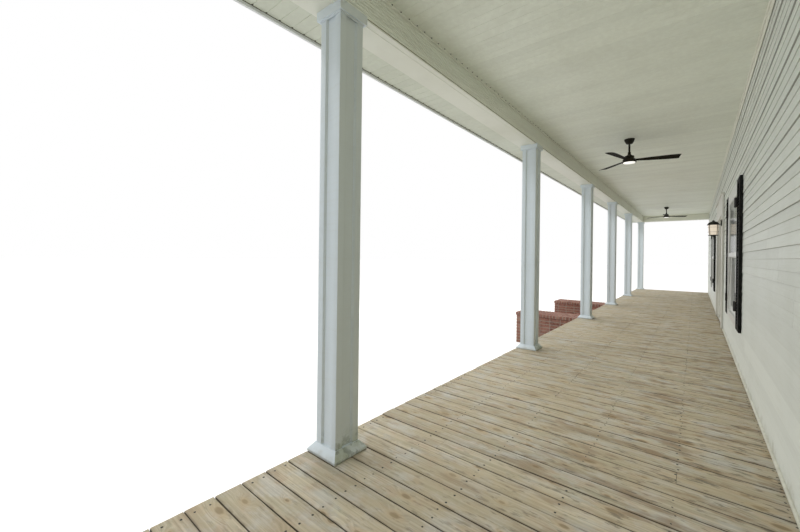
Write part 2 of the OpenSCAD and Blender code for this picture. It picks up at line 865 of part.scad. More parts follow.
// A metal rim with a shallow glass bowl under it, for each fan
module fan_lamps() {
    color("White") for (y = [near_fan_y, far_fan_y]) translate([fan_x, y, fan_levels[5]]) {
        translate([0, 0, -lamp_rim]) cylinder(r = lamp_radius, h = lamp_rim);
        translate([0, 0, -lamp_rim - lamp_glass])
            cylinder(r1 = lamp_radius * 0.8, r2 = lamp_radius * 0.97, h = lamp_glass);
    }
}

deck_boards();
floor_joists();
floor_girders();
front_rim();
end_rims();
brick_piers();
foundation_wall();
near_wall();
far_wall();
over_door_wall();
frieze_board();
column_shaft(column_y[0]);  // column_1
column_shaft(column_y[1]);  // column_2
column_shaft(column_y[2]);  // column_3
column_shaft(column_y[3]);  // column_4
column_shaft(column_y[4]);  // column_5
column_shaft(column_y[5]);  // column_6
column_shaft(column_y[6]);  // column_7
column_bases();
column_collars();
front_beam();
end_beams();
porch_ceiling();
eave_soffit();
fascia_board();
gable_walls();
rake_boards();
rake_soffits();
roof_rafters();
roof_deck();
window_frame(window_y[0]);  // near_window_frame
window_frame(window_y[1]);  // far_window_frame
window_glass();
window_shutters();
door_frame();
front_door();
door_hinges();
door_knob();
wall_lantern();
brick_steps();
cheek_walls();
fan_mounts();
fan_blades(near_fan_y, near_blade_turn);  // near_fan_blades
fan_blades(far_fan_y, far_blade_turn);  // far_fan_blades
fan_lamps();
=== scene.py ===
import math
import random

import bmesh
import bpy
from mathutils import Euler, Matrix, Vector


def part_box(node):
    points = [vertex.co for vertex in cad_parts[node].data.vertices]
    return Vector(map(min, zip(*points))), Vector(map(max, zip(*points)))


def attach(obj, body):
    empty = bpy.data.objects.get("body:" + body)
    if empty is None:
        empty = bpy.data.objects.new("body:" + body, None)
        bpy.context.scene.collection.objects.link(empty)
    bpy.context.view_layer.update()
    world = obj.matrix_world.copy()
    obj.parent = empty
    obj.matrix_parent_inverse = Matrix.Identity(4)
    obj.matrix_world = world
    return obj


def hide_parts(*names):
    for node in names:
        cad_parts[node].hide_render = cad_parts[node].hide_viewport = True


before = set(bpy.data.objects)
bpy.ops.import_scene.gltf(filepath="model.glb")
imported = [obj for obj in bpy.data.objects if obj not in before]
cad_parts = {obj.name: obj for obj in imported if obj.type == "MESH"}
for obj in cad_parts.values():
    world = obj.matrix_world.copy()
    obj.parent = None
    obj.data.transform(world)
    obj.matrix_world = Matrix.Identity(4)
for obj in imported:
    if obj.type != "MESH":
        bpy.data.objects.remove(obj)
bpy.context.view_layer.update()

# The front porch in metres: +X runs in towards the house, +Y along the porch.
DECK_LOW, DECK_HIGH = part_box("deck_boards")
BEAM_LOW, BEAM_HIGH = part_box("front_beam")
CEILING_LOW, CEILING_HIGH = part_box("porch_ceiling")
SOFFIT_LOW, SOFFIT_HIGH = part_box("eave_soffit")
FRIEZE_LOW, FRIEZE_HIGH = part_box("frieze_board")
ROOF_LOW, ROOF_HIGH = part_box("roof_deck")
WALL_FACE = DECK_HIGH.x
DECK_TOP = DECK_HIGH.z

BOARD_PITCH = 0.1397        # deck boards, joint to joint
BOARD_JOINT = -7.2126       # one joint between two deck boards
BUTT_JOINT = (0.0169, -5.9120)   # where two boards meet end to end on a joist
GROOVE_PITCH = 0.0958       # ceiling and soffit panels, groove to groove
CEILING_GROOVE = -6.0232    # one groove of the ceiling
CEILING_JOINT = 3.545       # where two runs of ceiling panels meet under a strip
SOFFIT_GROOVE = -6.757      # one groove of the soffit
LAP_PITCH = 0.0712          # siding, lap to lap; every third one locks two panels
LAP_FOOT = 0.6420           # foot of the first whole lap above the deck
LAP_DEPTH = 0.012           # how deep the laps are let into the wall
LAP_STATION = 0.61          # the laps wave a little between stations this far apart
PANEL_LONG = 3.66           # siding panels, end to end
PANEL_STAGGER = 1.37        # how far the ends move on for each lap
BLIND_FOOT = 1.857          # the window blinds hang down to here
SLAT = 0.05                 # slats of the blinds, one above the other
COURSE = 0.0677             # bricks, course to course
BRICK_LONG, BRICK_DEEP, MORTAR = 0.194, 0.092, 0.010
RISERS = 4                  # brick steps below the deck
SHINGLE_COURSE, SHINGLE_TAB = 0.143, 0.305
ROOF_THICK = 0.034          # roof deck, measured upright
PANEL_HALF, PANEL_SINK = 0.043, 0.012      # sunk panels of the columns
UP = Vector((0, 0, 1))


# Materials

class Wires:
    """Puts nodes into a node tree and joins them."""

    def __init__(self, tree):
        self.tree = tree

    def fill(self, node, inputs):
        for name, value in inputs.items():
            if isinstance(value, bpy.types.NodeSocket):
                self.tree.links.new(value, node.inputs[name])
            else:
                node.inputs[name].default_value = value
        return node

    def node(self, kind, inputs=None, **settings):
        node = self.tree.nodes.new(kind)
        for name, value in settings.items():
            setattr(node, name, value)
        return self.fill(node, inputs or {})

    def use(self, group, **inputs):
        """One shared effect with its own values; returns its outputs by name."""
        return self.fill(self.node("ShaderNodeGroup", node_tree=group), inputs).outputs

    def calc(self, operation, a, b=0.0):
        return self.node("ShaderNodeMath", {0: a, 1: b}, operation=operation).outputs[0]

    def plus(self, a, b):
        return self.calc("ADD", a, b)

    def less(self, a, b):
        return self.calc("SUBTRACT", a, b)

    def times(self, a, b):
        return self.calc("MULTIPLY", a, b)

    def vector(self, x=0.0, y=0.0, z=0.0):
        return self.node("ShaderNodeCombineXYZ", {0: x, 1: y, 2: z}).outputs[0]

    def parts(self, place):
        return self.node("ShaderNodeSeparateXYZ", {0: place}).outputs

    def moved(self, place, offset, operation="ADD"):
        node = self.node("ShaderNodeVectorMath", {0: place, 1: offset}, operation=operation)
        return node.outputs[0]

    def scaled(self, place, *factors):
        return self.moved(place, factors, "MULTIPLY")

    def mix(self, factor, a, b, blend="MIX"):
        a, b = (c + (1.0,) if isinstance(c, tuple) else c for c in (a, b))
        return self.node("ShaderNodeMix", {0: factor, 6: a, 7: b}, data_type="RGBA",
                         blend_type=blend).outputs[2]

    def between(self, value, low, high, to_low=0.0, to_high=1.0):
        """The value's place from low to high, with soft ends."""
        inputs = {"Value": value, "From Min": low, "From Max": high, "To Min": to_low,
                  "To Max": to_high}
        return self.node("ShaderNodeMapRange", inputs,
                         interpolation_type="SMOOTHSTEP").outputs["Result"]

    def noise(self, place, scale, detail=3.0, rough=0.55):
        return self.node("ShaderNodeTexNoise", {"Vector": place, "Scale": scale, "Detail": detail,
                                                "Roughness": rough}).outputs[0]

    def cloud(self, place, scale, low, high):
        return self.use(BLOTCHES, Vector=place, Scale=scale, Low=low, High=high)["Mask"]


def effect(name, **inputs):
    """Turns a function into a node group; its inputs are a Vector (None) and numbers."""
    def group(build):
        tree = bpy.data.node_groups.new(name, "ShaderNodeTree")
        for label, value in inputs.items():
            kind = "NodeSocketVector" if value is None else "NodeSocketFloat"
            socket = tree.interface.new_socket(label, in_out="INPUT", socket_type=kind)
            if value is not None:
                socket.default_value = value
        w = Wires(tree)
        results = build(w, w.node("NodeGroupInput").outputs)
        for label in results:
            tree.interface.new_socket(label, in_out="OUTPUT", socket_type="NodeSocketFloat")
        w.node("NodeGroupOutput", results)
        return tree
    return group


@effect("Wood grain", Vector=None, Shift=0.0)
def GRAIN(w, given):
    """Grain along X, bent round a few knots."""
    place = w.moved(given["Vector"],
                    w.vector(*(w.times(given["Shift"], k) for k in (41.0, 17.0, 7.0))))
    at = w.parts(place)
    flat = w.vector(w.times(at["X"], 3.4), w.times(w.plus(at["Y"], at["Z"]), 7.0))
    spots = w.node("ShaderNodeTexVoronoi", {"Vector": flat, "Scale": 1.0},
                   voronoi_dimensions="2D").outputs
    chance = w.parts(spots["Color"])
    nearness = w.calc("DIVIDE", spots["Distance"], w.between(chance["Y"], 0.0, 1.0, 0.6, 1.5))
    kept = w.between(chance["X"], 0.52, 0.55)
    swirl, knots, halo = (w.times(kept, w.between(nearness, low, high, 1.0, 0.0))
                          for low, high in ((0.05, 0.34), (0.05, 0.10), (0.08, 0.24)))
    bent = w.moved(w.scaled(place, 1.1, 90.0, 90.0), w.vector(0.0, w.times(swirl, 3.0)))
    return {"Streaks": w.noise(bent, 1.0, 4.0, 0.62),
            "Fibre": w.noise(w.scaled(place, 14.0, 380.0, 380.0), 1.0, 2.0),
            "Knots": knots, "Halo": halo}


@effect("Blotches", Vector=None, Scale=2.0, Low=0.4, High=0.7)
def BLOTCHES(w, given):
    """Cloudy patches."""
    cloud = w.noise(given["Vector"], given["Scale"], 5.0, 0.6)
    return {"Mask": w.between(cloud, given["Low"], given["High"])}


@effect("Splashed dirt", Vector=None, Level=DECK_TOP, Reach=0.2)
def SPLASH(w, given):
    """Dirt that fades upwards from a level."""
    height = w.calc("DIVIDE", w.less(w.parts(given["Vector"])["Z"], given["Level"]),
                    given["Reach"])
    cloud = w.noise(given["Vector"], 9.0, 5.0, 0.65)
    return {"Mask": w.between(w.less(w.times(cloud, 1.5), height), 0.2, 0.85)}


@effect("Worn edge", Vector=None, Low=0.52, High=0.62)
def WORN_EDGE(w, given):
    """Edges and corners, broken up by noise."""
    sharp = w.between(w.node("ShaderNodeNewGeometry").outputs["Pointiness"], given["Low"],
                      given["High"])
    cloud = w.noise(given["Vector"], 23.0, 4.0)
    return {"Mask": w.times(sharp, w.between(cloud, 0.35, 0.6))}


@effect("Moulded skin", Vector=None, Scale=300.0)
def SKIN(w, given):
    """Fine orange peel and long faint marks of a moulded or painted surface."""
    place = given["Vector"]
    return {"Peel": w.noise(place, given["Scale"], 2.0),
            "Marks": w.noise(w.scaled(place, 3.0, 3.0, 60.0), 1.0, 3.0)}


@effect("Board joints", Vector=None, Pitch=0.1, Phase=0.0)
def JOINTS(w, given):
    """The joints between the boards of a row along Y."""
    rows = w.calc("DIVIDE", w.less(w.parts(given["Vector"])["Y"], given["Phase"]), given["Pitch"])
    off_middle = w.calc("ABSOLUTE", w.less(w.calc("FRACT", rows), 0.5))
    return {"Mask": w.between(off_middle, 0.40, 0.5)}


class Finish:
    """A material: its shader, wires and place on the object, and its colour so far."""

    def __init__(self, name, rough=0.5, metallic=0.0, **constants):
        self.material = bpy.data.materials.new(name)
        self.material.use_nodes = True
        tree = self.material.node_tree
        tree.nodes.clear()
        self.wires = w = Wires(tree)
        self.shader = w.node("ShaderNodeBsdfPrincipled",
                             {"Roughness": rough, "Metallic": metallic})
        for socket, value in constants.items():
            self.shader.inputs[socket.replace("_", " ")].default_value = value
        w.node("ShaderNodeOutputMaterial", {"Surface": self.shader.outputs[0]})
        self.place = w.node("ShaderNodeTexCoord").outputs["Object"]
        geometry = w.node("ShaderNodeNewGeometry").outputs
        self.island, self.normal = geometry["Random Per Island"], geometry["Normal"]

    def set(self, socket, value):
        self.wires.tree.links.new(value, self.shader.inputs[socket])

    def tint(self, value):
        """Makes the colour lighter or darker by a factor."""
        self.colour = self.wires.mix(1.0, self.colour, self.wires.vector(value, value, value),
                                     "MULTIPLY")

    def over(self, mask, amount, tone):
        """Lays a tone over the colour where the mask is."""
        self.colour = self.wires.mix(self.wires.times(mask, amount), self.colour, tone)
        return mask

    def patches(self, scale, low, high, amount, tone, place=None, where=None):
        """Lays a tone over the colour in cloudy patches, and returns their mask."""
        mask = self.wires.cloud(self.place if place is None else place, scale, low, high)
        if where is not None:
            mask = self.wires.times(mask, where)
        return self.over(mask, amount, tone)

    def worn(self, high, amount, tone, low=0.53):
        """Lays a tone over the colour on worn edges."""
        self.over(self.wires.use(WORN_EDGE, Vector=self.place, Low=low, High=high)["Mask"],
                  amount, tone)

    def splashed(self, level, reach, amount, tone):
        """Lays a tone over the colour where dirt splashes up from a level."""
        self.over(self.wires.use(SPLASH, Vector=self.place, Level=level, Reach=reach)["Mask"],
                  amount, tone)

    def facing(self, axis, *steps):
        """How far the surface faces along an axis."""
        return self.wires.between(self.wires.parts(self.normal)[axis], *steps)

    def roughen(self, mask, low, high):
        self.set("Roughness", self.wires.between(mask, 0.0, 1.0, low, high))

    def done(self, height, depth, strength=0.6):
        """Sets the colour and the bump, and gives the material."""
        self.set("Base Color", self.colour)
        self.set("Normal", self.wires.node(
            "ShaderNodeBump", {"Height": height, "Distance": depth,
                               "Strength": strength}).outputs[0])
        return self.material


def deck_pine():
    """Greyed, mildewed pine boards that run across the porch."""
    f = Finish("Weathered deck pine", 0.8)
    w, place = f.wires, f.place
    grain = w.use(GRAIN, Vector=place, Shift=f.island)
    streaks, fibre, knots = grain["Streaks"], grain["Fibre"], grain["Knots"]
    spread = w.scaled(place, 1.0, 1.4, 1.0)
    near_wall = w.between(w.parts(place)["X"], -0.3, 1.5, 0.35, 1.0)

    f.colour = w.mix(f.island, (0.60, 0.525, 0.385), (0.475, 0.42, 0.315))
    f.patches(3.1, 0.45, 0.7, 0.45, (0.46, 0.455, 0.33), w.scaled(place, 1.0, 3.2, 1.0))
    f.patches(7.5, 0.47, 0.66, 0.5, (0.50, 0.37, 0.26), w.moved(spread, (7.0, 3.0, 0.0)))
    f.patches(6.0, 0.45, 0.66, 0.6, (0.60, 0.595, 0.56), w.moved(spread, (1.0, 9.0, 0.0)))
    f.tint(w.between(streaks, 0.36, 0.66, 0.80, 1.07))
    f.tint(w.between(fibre, 0.3, 0.7, 0.93, 1.04))
    f.over(grain["Halo"], 0.55, (0.50, 0.375, 0.225))
    f.over(knots, 0.85, (0.25, 0.185, 0.10))
    f.patches(1.5, 0.40, 0.62, 0.45, (0.44, 0.355, 0.215), w.scaled(place, 1.0, 1.7, 1.0))
    f.patches(1.4, 0.50, 0.66, 0.72, (0.235, 0.150, 0.075), w.scaled(place, 1.6, 5.0, 1.0),
              near_wall)
    f.patches(3.4, 0.55, 0.66, 0.7, (0.11, 0.095, 0.07), w.scaled(place, 3.0, 12.0, 1.0),
              near_wall)
    joint = w.use(JOINTS, Vector=place, Pitch=BOARD_PITCH, Phase=BOARD_JOINT)["Mask"]
    broken = w.between(w.noise(w.scaled(place, 4.0, 1.0, 1.0), 2.0), 0.4, 0.7)
    f.over(w.times(joint, broken), 0.6, (0.17, 0.13, 0.09))
    # painted shade: the sides of the boards, down in the gaps, are made dark
    f.over(f.facing("Z", 0.3, 0.8, 0.9, 0.0), 1.0, (0.07, 0.055, 0.04))
    f.set("Roughness", w.between(streaks, 0.3, 0.7, 0.9, 0.68))
    height = w.plus(streaks, w.times(fibre, 0.5))
    return f.done(w.less(height, w.times(knots, 0.4)), 0.0025, 0.7)


def framing_pine():
    """Rough sawn, shaded framing timber."""
    f = Finish("Rough framing pine", 0.85)
    w, at = f.wires, f.wires.parts(f.place)
    grain = w.use(GRAIN, Vector=w.vector(at["Y"], at["X"], at["Z"]), Shift=f.island)
    f.colour = w.mix(f.island, (0.43, 0.33, 0.21), (0.33, 0.26, 0.17))
    f.over(w.between(grain["Streaks"], 0.35, 0.65, 0.55, 0.0), 1.0, (0.20, 0.13, 0.07))
    f.over(grain["Knots"], 1.0, (0.13, 0.08, 0.045))
    f.patches(1.7, 0.5, 0.7, 0.5, (0.19, 0.19, 0.14))
    return f.done(w.plus(grain["Streaks"], grain["Fibre"]), 0.002)


def moulded(name, colour, rough, peel, dirt, reach=0.22, shade=(0.48, 0.47, 0.36), underside_shade=0.0,
            more=None):
    """Pale vinyl or enamel: cloudy grime, splashed dirt at its foot, fine skin. Faces that look
    down get painted shade, as much as asked for, and more adds what one finish has besides."""
    f = Finish(name, rough)
    w = f.wires
    skin = w.use(SKIN, Vector=f.place, Scale=peel)
    f.colour = colour
    f.tint(w.between(f.island, 0.0, 1.0, 0.965, 1.03))
    patches = f.patches(1.1, 0.42, 0.78, dirt, shade)
    f.over(w.between(skin["Marks"], 0.45, 0.75, 0.0, 0.10), 1.0, shade)
    f.splashed(DECK_TOP, reach, 0.42, (0.30, 0.29, 0.20))
    f.worn(0.65, 0.12, (0.45, 0.43, 0.36))
    # painted shade on faces that look down
    if underside_shade:
        f.over(f.facing("Z", -0.9, -0.5, underside_shade, 0.0), 1.0, (0.10, 0.095, 0.07))
    f.roughen(patches, rough, rough + 0.16)
    if more:
        more(f)
    return f.done(w.plus(skin["Peel"], w.times(skin["Marks"], 0.6)), 0.0004, 0.5)


def house_side_shade_and_mildew(f):
    """Painted shade over the whole house side of a column, and green and black mildew low on it.
    """
    low = f.wires.between(f.wires.parts(f.place)["Z"], DECK_TOP + 0.02, DECK_TOP + 0.19, 1.0, 0.0)
    # painted shade: the side that faces the house is made darker
    house_side = f.over(f.facing("X", 0.2, 0.8), 0.45, (0.60, 0.60, 0.50))
    where = f.wires.times(low, house_side)
    f.patches(9.0, 0.36, 0.62, 0.55, (0.34, 0.37, 0.22), where=where)
    f.patches(26.0, 0.47, 0.60, 0.5, (0.10, 0.12, 0.09), where=where)


def red_brick():
    """Fired clay, each brick its own tone."""
    f = Finish("Fired brick", 0.85)
    w = f.wires
    tone = w.node("ShaderNodeValToRGB", {0: f.island})
    stops = ((0.0, (0.15, 0.058, 0.042)), (0.3, (0.23, 0.098, 0.070)),
             (0.6, (0.29, 0.132, 0.096)), (0.85, (0.205, 0.09, 0.07)),
             (1.0, (0.35, 0.20, 0.15)))
    ramp = tone.color_ramp.elements
    for _ in range(len(stops) - 2):
        ramp.new(0.5)
    for element, (at, colour) in zip(ramp, stops):
        element.position, element.color = at, colour + (1.0,)
    f.colour = tone.outputs[0]
    spots = f.patches(38.0, 0.5, 0.68, 0.5, (0.13, 0.05, 0.04))
    f.patches(3.1, 0.52, 0.75, 0.28, (0.55, 0.47, 0.41))
    f.splashed(0.0, 0.35, 0.35, (0.12, 0.13, 0.07))
    f.worn(0.66, 0.5, (0.50, 0.26, 0.19))
    pitted = w.less(w.noise(f.place, 160.0, 4.0, 0.7), w.times(spots, 0.5))
    return f.done(pitted, 0.003, 0.7)


def sandy(name, colour, dark, scale):
    """Mortar, plaster and the like: a grainy mineral surface."""
    f = Finish(name, 0.92)
    grit = f.wires.noise(f.place, scale, 4.0, 0.75)
    f.colour = colour
    f.over(f.wires.between(grit, 0.35, 0.65, 0.35, 0.0), 1.0, dark)
    f.patches(1.9, 0.42, 0.72, 0.45, dark)
    return f.done(grit, 0.0015)


def shingles():
    """Mineral felt tabs, each with its own mix of grit."""
    f = Finish("Mineral shingles", 0.93)
    w = f.wires
    grit = w.node("ShaderNodeTexVoronoi", {"Vector": f.place, "Scale": 420.0}).outputs
    f.colour = w.mix(f.island, (0.235, 0.22, 0.205), (0.13, 0.125, 0.12))
    f.over(w.between(w.parts(grit["Color"])["X"], 0.3, 0.9, 0.0, 0.5), 1.0, (0.36, 0.34, 0.32))
    f.patches(1.4, 0.5, 0.75, 0.55, (0.07, 0.075, 0.065), w.scaled(f.place, 0.35, 1.6, 1.0))
    return f.done(grit["Distance"], 0.0015, 0.8)


DUST = (0.20, 0.185, 0.15)


def dark_coat(name, colour, rough, metallic, worn, sheen=0.5, dusty=0.16):
    """Dark enamel or stain over metal, wood or vinyl, and dark strips of painted shade."""
    f = Finish(name, rough, metallic, Specular_IOR_Level=sheen)
    f.colour = colour
    dust = f.patches(6.0, 0.45, 0.75, dusty, DUST)
    f.over(f.facing("Z", 0.5, 0.95, 0.0, dusty * 1.9), 1.0, (0.22, 0.21, 0.18))
    f.worn(0.60, 0.5, worn, 0.52)
    f.roughen(dust, rough, min(1.0, rough + 0.22))
    return f.done(f.wires.use(SKIN, Vector=f.place, Scale=520.0)["Peel"], 0.0003, 0.5)


def blade_stain():
    """Dark stained wood of the fan blades, with a faint grain."""
    f = Finish("Stained blade", 0.7, Specular_IOR_Level=0.05)
    w = f.wires
    grain = w.use(GRAIN, Vector=w.scaled(f.place, 2.0, 2.0, 2.0), Shift=f.island)
    f.colour = w.mix(w.between(grain["Streaks"], 0.35, 0.65), (0.008, 0.0072, 0.0035),
                     (0.016, 0.014, 0.007))
    f.roughen(f.patches(7.0, 0.45, 0.75, 0.03, DUST), 0.6, 0.75)
    return f.done(grain["Fibre"], 0.0004, 0.4)


def pane(name, colour, alpha):
    """Window glass with a film of dust; the dark one is painted with the shade of the unlit room
    behind it.
    """
    f = Finish(name, 0.05, Alpha=alpha, IOR=1.5, Specular_IOR_Level=0.12)
    w = f.wires
    drip = w.noise(w.scaled(f.place, 30.0, 30.0, 1.5), 1.0, 3.0)
    film = w.times(w.cloud(f.place, 2.4, 0.45, 0.8), w.between(drip, 0.3, 0.7, 0.3, 1.0))
    f.set("Base Color", w.mix(w.times(film, 0.22), colour, (0.42, 0.44, 0.42)))
    f.roughen(film, 0.04, 0.16)
    return f.material


def darker(colour, factor):
    return tuple(c * factor for c in colour)


def glowing(name, colour, light, strength, rim=0.72):
    """Opal or clear glass with its lamp on, brighter at the middle of the glass."""
    f = Finish(name, 0.25, Emission_Strength=strength)
    w = f.wires
    cloud = w.noise(f.place, 14.0, 3.0)
    f.colour = w.mix(cloud, colour, darker(colour, 0.92))
    facing = w.node("ShaderNodeLayerWeight", {"Blend": 0.35}).outputs["Facing"]
    f.set("Emission Color", w.mix(w.between(facing, 0.1, 0.9), light, darker(light, rim)))
    return f.done(cloud, 0.0005, 0.3)


def bare_metal(name, colour, rough):
    """Zinc or steel with dull patches and fine scratches."""
    f = Finish(name, rough, 1.0)
    f.colour = colour
    f.roughen(f.patches(5.0, 0.4, 0.7, 1.0, darker(colour, 0.6)), rough, rough + 0.3)
    scratches = f.wires.noise(f.wires.scaled(f.place, 8.0, 260.0, 8.0), 1.0, 3.0)
    return f.done(scratches, 0.0003, 0.4)


DECK = deck_pine()
FRAMING = framing_pine()
BRICK = red_brick()
MORTAR_BED = sandy("Sand mortar", (0.44, 0.40, 0.34), (0.22, 0.19, 0.16), 240.0)
PLASTER = sandy("Cut wall plaster", (0.70, 0.69, 0.65), (0.55, 0.53, 0.48), 120.0)
# both siding vinyls paint shade under the laps; the lock laps get the deeper painted shade
SIDING, SIDING_LOCK_DEEP_SHADE = (moulded(name, (0.832, 0.870, 0.825), 0.45, 260.0, 0.08, 0.15, underside_shade=underside_shade)
                       for name, underside_shade in (("Siding vinyl painted shade under laps", 0.42), ("Siding lock vinyl deeper painted shade under laps", 0.66)))
TRIM = moulded("Trim vinyl", (0.84, 0.85, 0.75), 0.40, 300.0, 0.12)
CEILING = moulded("Ceiling vinyl", (0.86, 0.895, 0.79), 0.42, 280.0, 0.10)
SOFFIT = moulded("Soffit vinyl", (0.71, 0.745, 0.63), 0.42, 280.0, 0.14)
FASCIA = moulded("Fascia enamel", (0.80, 0.82, 0.82), 0.35, 420.0, 0.14)
WRAP = moulded("Column enamel", (0.71, 0.79, 0.85), 0.38, 420.0, 0.08, 0.07, (0.60, 0.62, 0.56),
               more=house_side_shade_and_mildew)
FRAME_WHITE = moulded("Window frame white", (0.82, 0.83, 0.82), 0.30, 500.0, 0.08)
DOOR_PAINT = moulded("Door paint", (0.80, 0.80, 0.75), 0.38, 210.0, 0.12)
BLIND = moulded("Blind cloth", (0.70, 0.73, 0.66), 0.8, 900.0, 0.1)
SHINGLE = shingles()
# three of these coats are painted shadow: the brown and grey strips and the dark blocks in the
# groove ends
SHUTTER, BLACK_IRON, BROWN_PAINTED_SHADOW, GREY_PAINTED_SHADOW, BRONZE, SHADOW_GAP = (dark_coat(*look) for look in (
    ("Black shutter vinyl", (0.005, 0.0055, 0.005), 0.66, 0.0, (0.03, 0.03, 0.03), 0.10, 0.02),
    ("Black iron", (0.010, 0.010, 0.010), 0.55, 0.0, (0.05, 0.045, 0.04), 0.3, 0.05),
    ("Brown painted shadow", (0.20, 0.17, 0.085), 0.8, 0.0, (0.25, 0.22, 0.12), 0.3, 0.05),
    ("Grey painted shadow", (0.17, 0.165, 0.125), 0.8, 0.0, (0.20, 0.20, 0.16), 0.3, 0.05),
    ("Oiled bronze", (0.016, 0.0145, 0.008), 0.5, 0.2, (0.12, 0.09, 0.05), 0.2, 0.06),
    ("Painted shade in groove ends", (0.022, 0.021, 0.018), 0.9, 0.0, (0.05, 0.05, 0.04))))
BLADE = blade_stain()
ROOM_SHADE_PANE = pane("Pane painted with room shade", (0.030, 0.040, 0.046), 0.93)
CLEAR_PANE = pane("Clear pane", (0.16, 0.19, 0.19), 0.30)
LAMP_GLASS = glowing("Opal lamp glass", (0.92, 0.92, 0.88), (1.0, 0.98, 0.92), 0.9)
LANTERN_GLASS = glowing("Lantern glass", (0.46, 0.43, 0.37), (1.0, 0.85, 0.67), 0.56, 0.36)
ZINC = bare_metal("Dull zinc", (0.52, 0.53, 0.54), 0.45)


# Making pieces

def angles(count, ends=0):
    """Even turns round a circle; ends adds the first one again."""
    return [2 * math.pi * i / count for i in range(count + ends)]


class Form:
    """Corners and faces of one piece, gathered until the piece is made."""

    def __init__(self):
        self.corners, self.faces, self.finishes = [], [], []

    def add(self, corners, faces, finish=0):
        first = len(self.corners)
        self.corners.extend(corners)
        self.faces.extend([first + i for i in face] for face in faces)
        self.finishes.extend([finish] * len(faces))

    def run(self, rings, finish=0):
        """A solid skinned over closed rings of equal length, its ends shut."""
        count = len(rings[0])
        corners = [point for ring in rings for point in ring]
        faces = [list(range(count)), list(range(len(corners) - count, len(corners)))[::-1]]
        for i in range(len(rings) - 1):
            for j in range(count):
                a, b = i * count + j, i * count + (j + 1) % count
                faces.append([a, a + count, b + count, b])
        self.add(corners, faces, finish)

    def along(self, outline, *stations):
        """A strip of constant section, drawn as (x, z), run along the porch."""
        self.run([[(x, y, z) for x, z in outline] for y in stations])

    def across(self, outline, *stations, finish=0):
        """A strip of constant section, drawn as (y, z), run across the porch."""
        self.run([[(x, y, z) for y, z in outline] for x in stations], finish)

    def block(self, low, high, ease=0.0, finish=0):
        """A box; ease takes off its edges."""
        if ease <= 0:
            x, y, z = zip(low, high)
            self.across([(y[0], z[0]), (y[1], z[0]), (y[1], z[1]), (y[0], z[1])], *x,
                        finish=finish)
            return
        corners = []
        for corner in range(8):
            side = [(corner >> axis) & 1 for axis in range(3)]
            for axis in range(3):
                corners.append(tuple(
                    (high[k] if side[k] else low[k])
                    + (0.0 if k == axis else (-ease if side[k] else ease)) for k in range(3)))
        self.add(corners, EASED_FACES, finish)

    def lathe(self, centre, outline, count, turn=None):
        """A solid of revolution: outline is (radius, height) up the Z axis through centre."""
        rings = []
        for radius, height in outline:
            points = [Vector((radius * math.cos(a), radius * math.sin(a), height))
                      for a in angles(count)]
            rings.append([tuple(Vector(centre) + (turn @ point if turn else point))
                          for point in points])
        self.run(rings)

    def stud(self, foot, radius, tall, count):
        """A small round pin or screw head."""
        self.lathe(foot, [(radius, 0.0), (radius, tall)], count)

    def tube(self, path, radius, count):
        """A round bar along a path of points."""
        path = [Vector(p) for p in path]
        rings = []
        for i, point in enumerate(path):
            along = (path[min(i + 1, len(path) - 1)] - path[max(i - 1, 0)]).normalized()
            side = along.cross(UP)
            if side.length < 0.1:
                side = along.cross(Vector((0, 1, 0)))
            side.normalize()
            up = side.cross(along)
            rings.append([tuple(point + radius * (math.cos(a) * side + math.sin(a) * up))
                          for a in angles(count)])
        self.run(rings)


def eased_faces():
    """Faces of a box with its edges taken off: 24 corners, three at each corner of the box."""
    faces = []
    for axis in range(3):
        one, two = [k for k in range(3) if k != axis]
        for side in (0, 1):
            faces.append([((side << axis) | (a << one) | (b << two)) * 3 + axis
                          for a, b in ((0, 0), (1, 0), (1, 1), (0, 1))])
    for axis in range(3):
        a, b = [k for k in range(3) if k != axis]
        for side_a in (0, 1):
            for side_b in (0, 1):
                one = (side_a << a) | (side_b << b)
                two = one | (1 << axis)
                faces.append([one * 3 + a, two * 3 + a, two * 3 + b, one * 3 + b])
    faces.extend([corner * 3, corner * 3 + 1, corner * 3 + 2] for corner in range(8))
    return faces


EASED_FACES = eased_faces()


def placed(name, data):
    """Adds an object to the scene."""
    thing = bpy.data.objects.new(name, data)
    bpy.context.scene.collection.objects.link(thing)
    return thing


def put(name, mesh, body, replaced, angle):
    """Places a mesh as a piece that rides on a body and stands for CAD nodes."""
    if angle:
        mesh.shade_smooth()
        mesh.set_sharp_from_angle(angle=math.radians(angle))
    piece = placed(name, mesh)
    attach(piece, body)
    if replaced:
        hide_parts(*replaced)


def make(name, form, materials, slot, *replaced, body="porch", angle=35):
    """Turns a form into a piece."""
    mesh = bpy.data.meshes.new(name)
    mesh.from_pydata(form.corners, [], form.faces)
    for material in materials:
        mesh.materials.append(material)
    mesh.polygons.foreach_set("material_index", form.finishes)
    work = bmesh.new()
    work.from_mesh(mesh)
    bmesh.ops.recalc_face_normals(work, faces=work.faces)
    work.to_mesh(mesh)
    work.free()
    put(name, mesh, body, replaced, angle)


def gathered(*nodes):
    """The solids of CAD nodes, their doubled corners joined."""
    work = bmesh.new()
    for node in nodes:
        work.from_mesh(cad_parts[node].data)
    bmesh.ops.remove_doubles(work, verts=work.verts, dist=0.00005)
    return work


def recoat(name, work, material, body, nodes, angle=None):
    """Turns worked CAD solids into a piece of one material."""
    mesh = bpy.data.meshes.new(name)
    work.to_mesh(mesh)
    work.free()
    mesh.materials.clear()
    mesh.materials.append(material)
    mesh.polygons.foreach_set("material_index", [0] * len(mesh.polygons))
    put(name, mesh, body, nodes, angle)


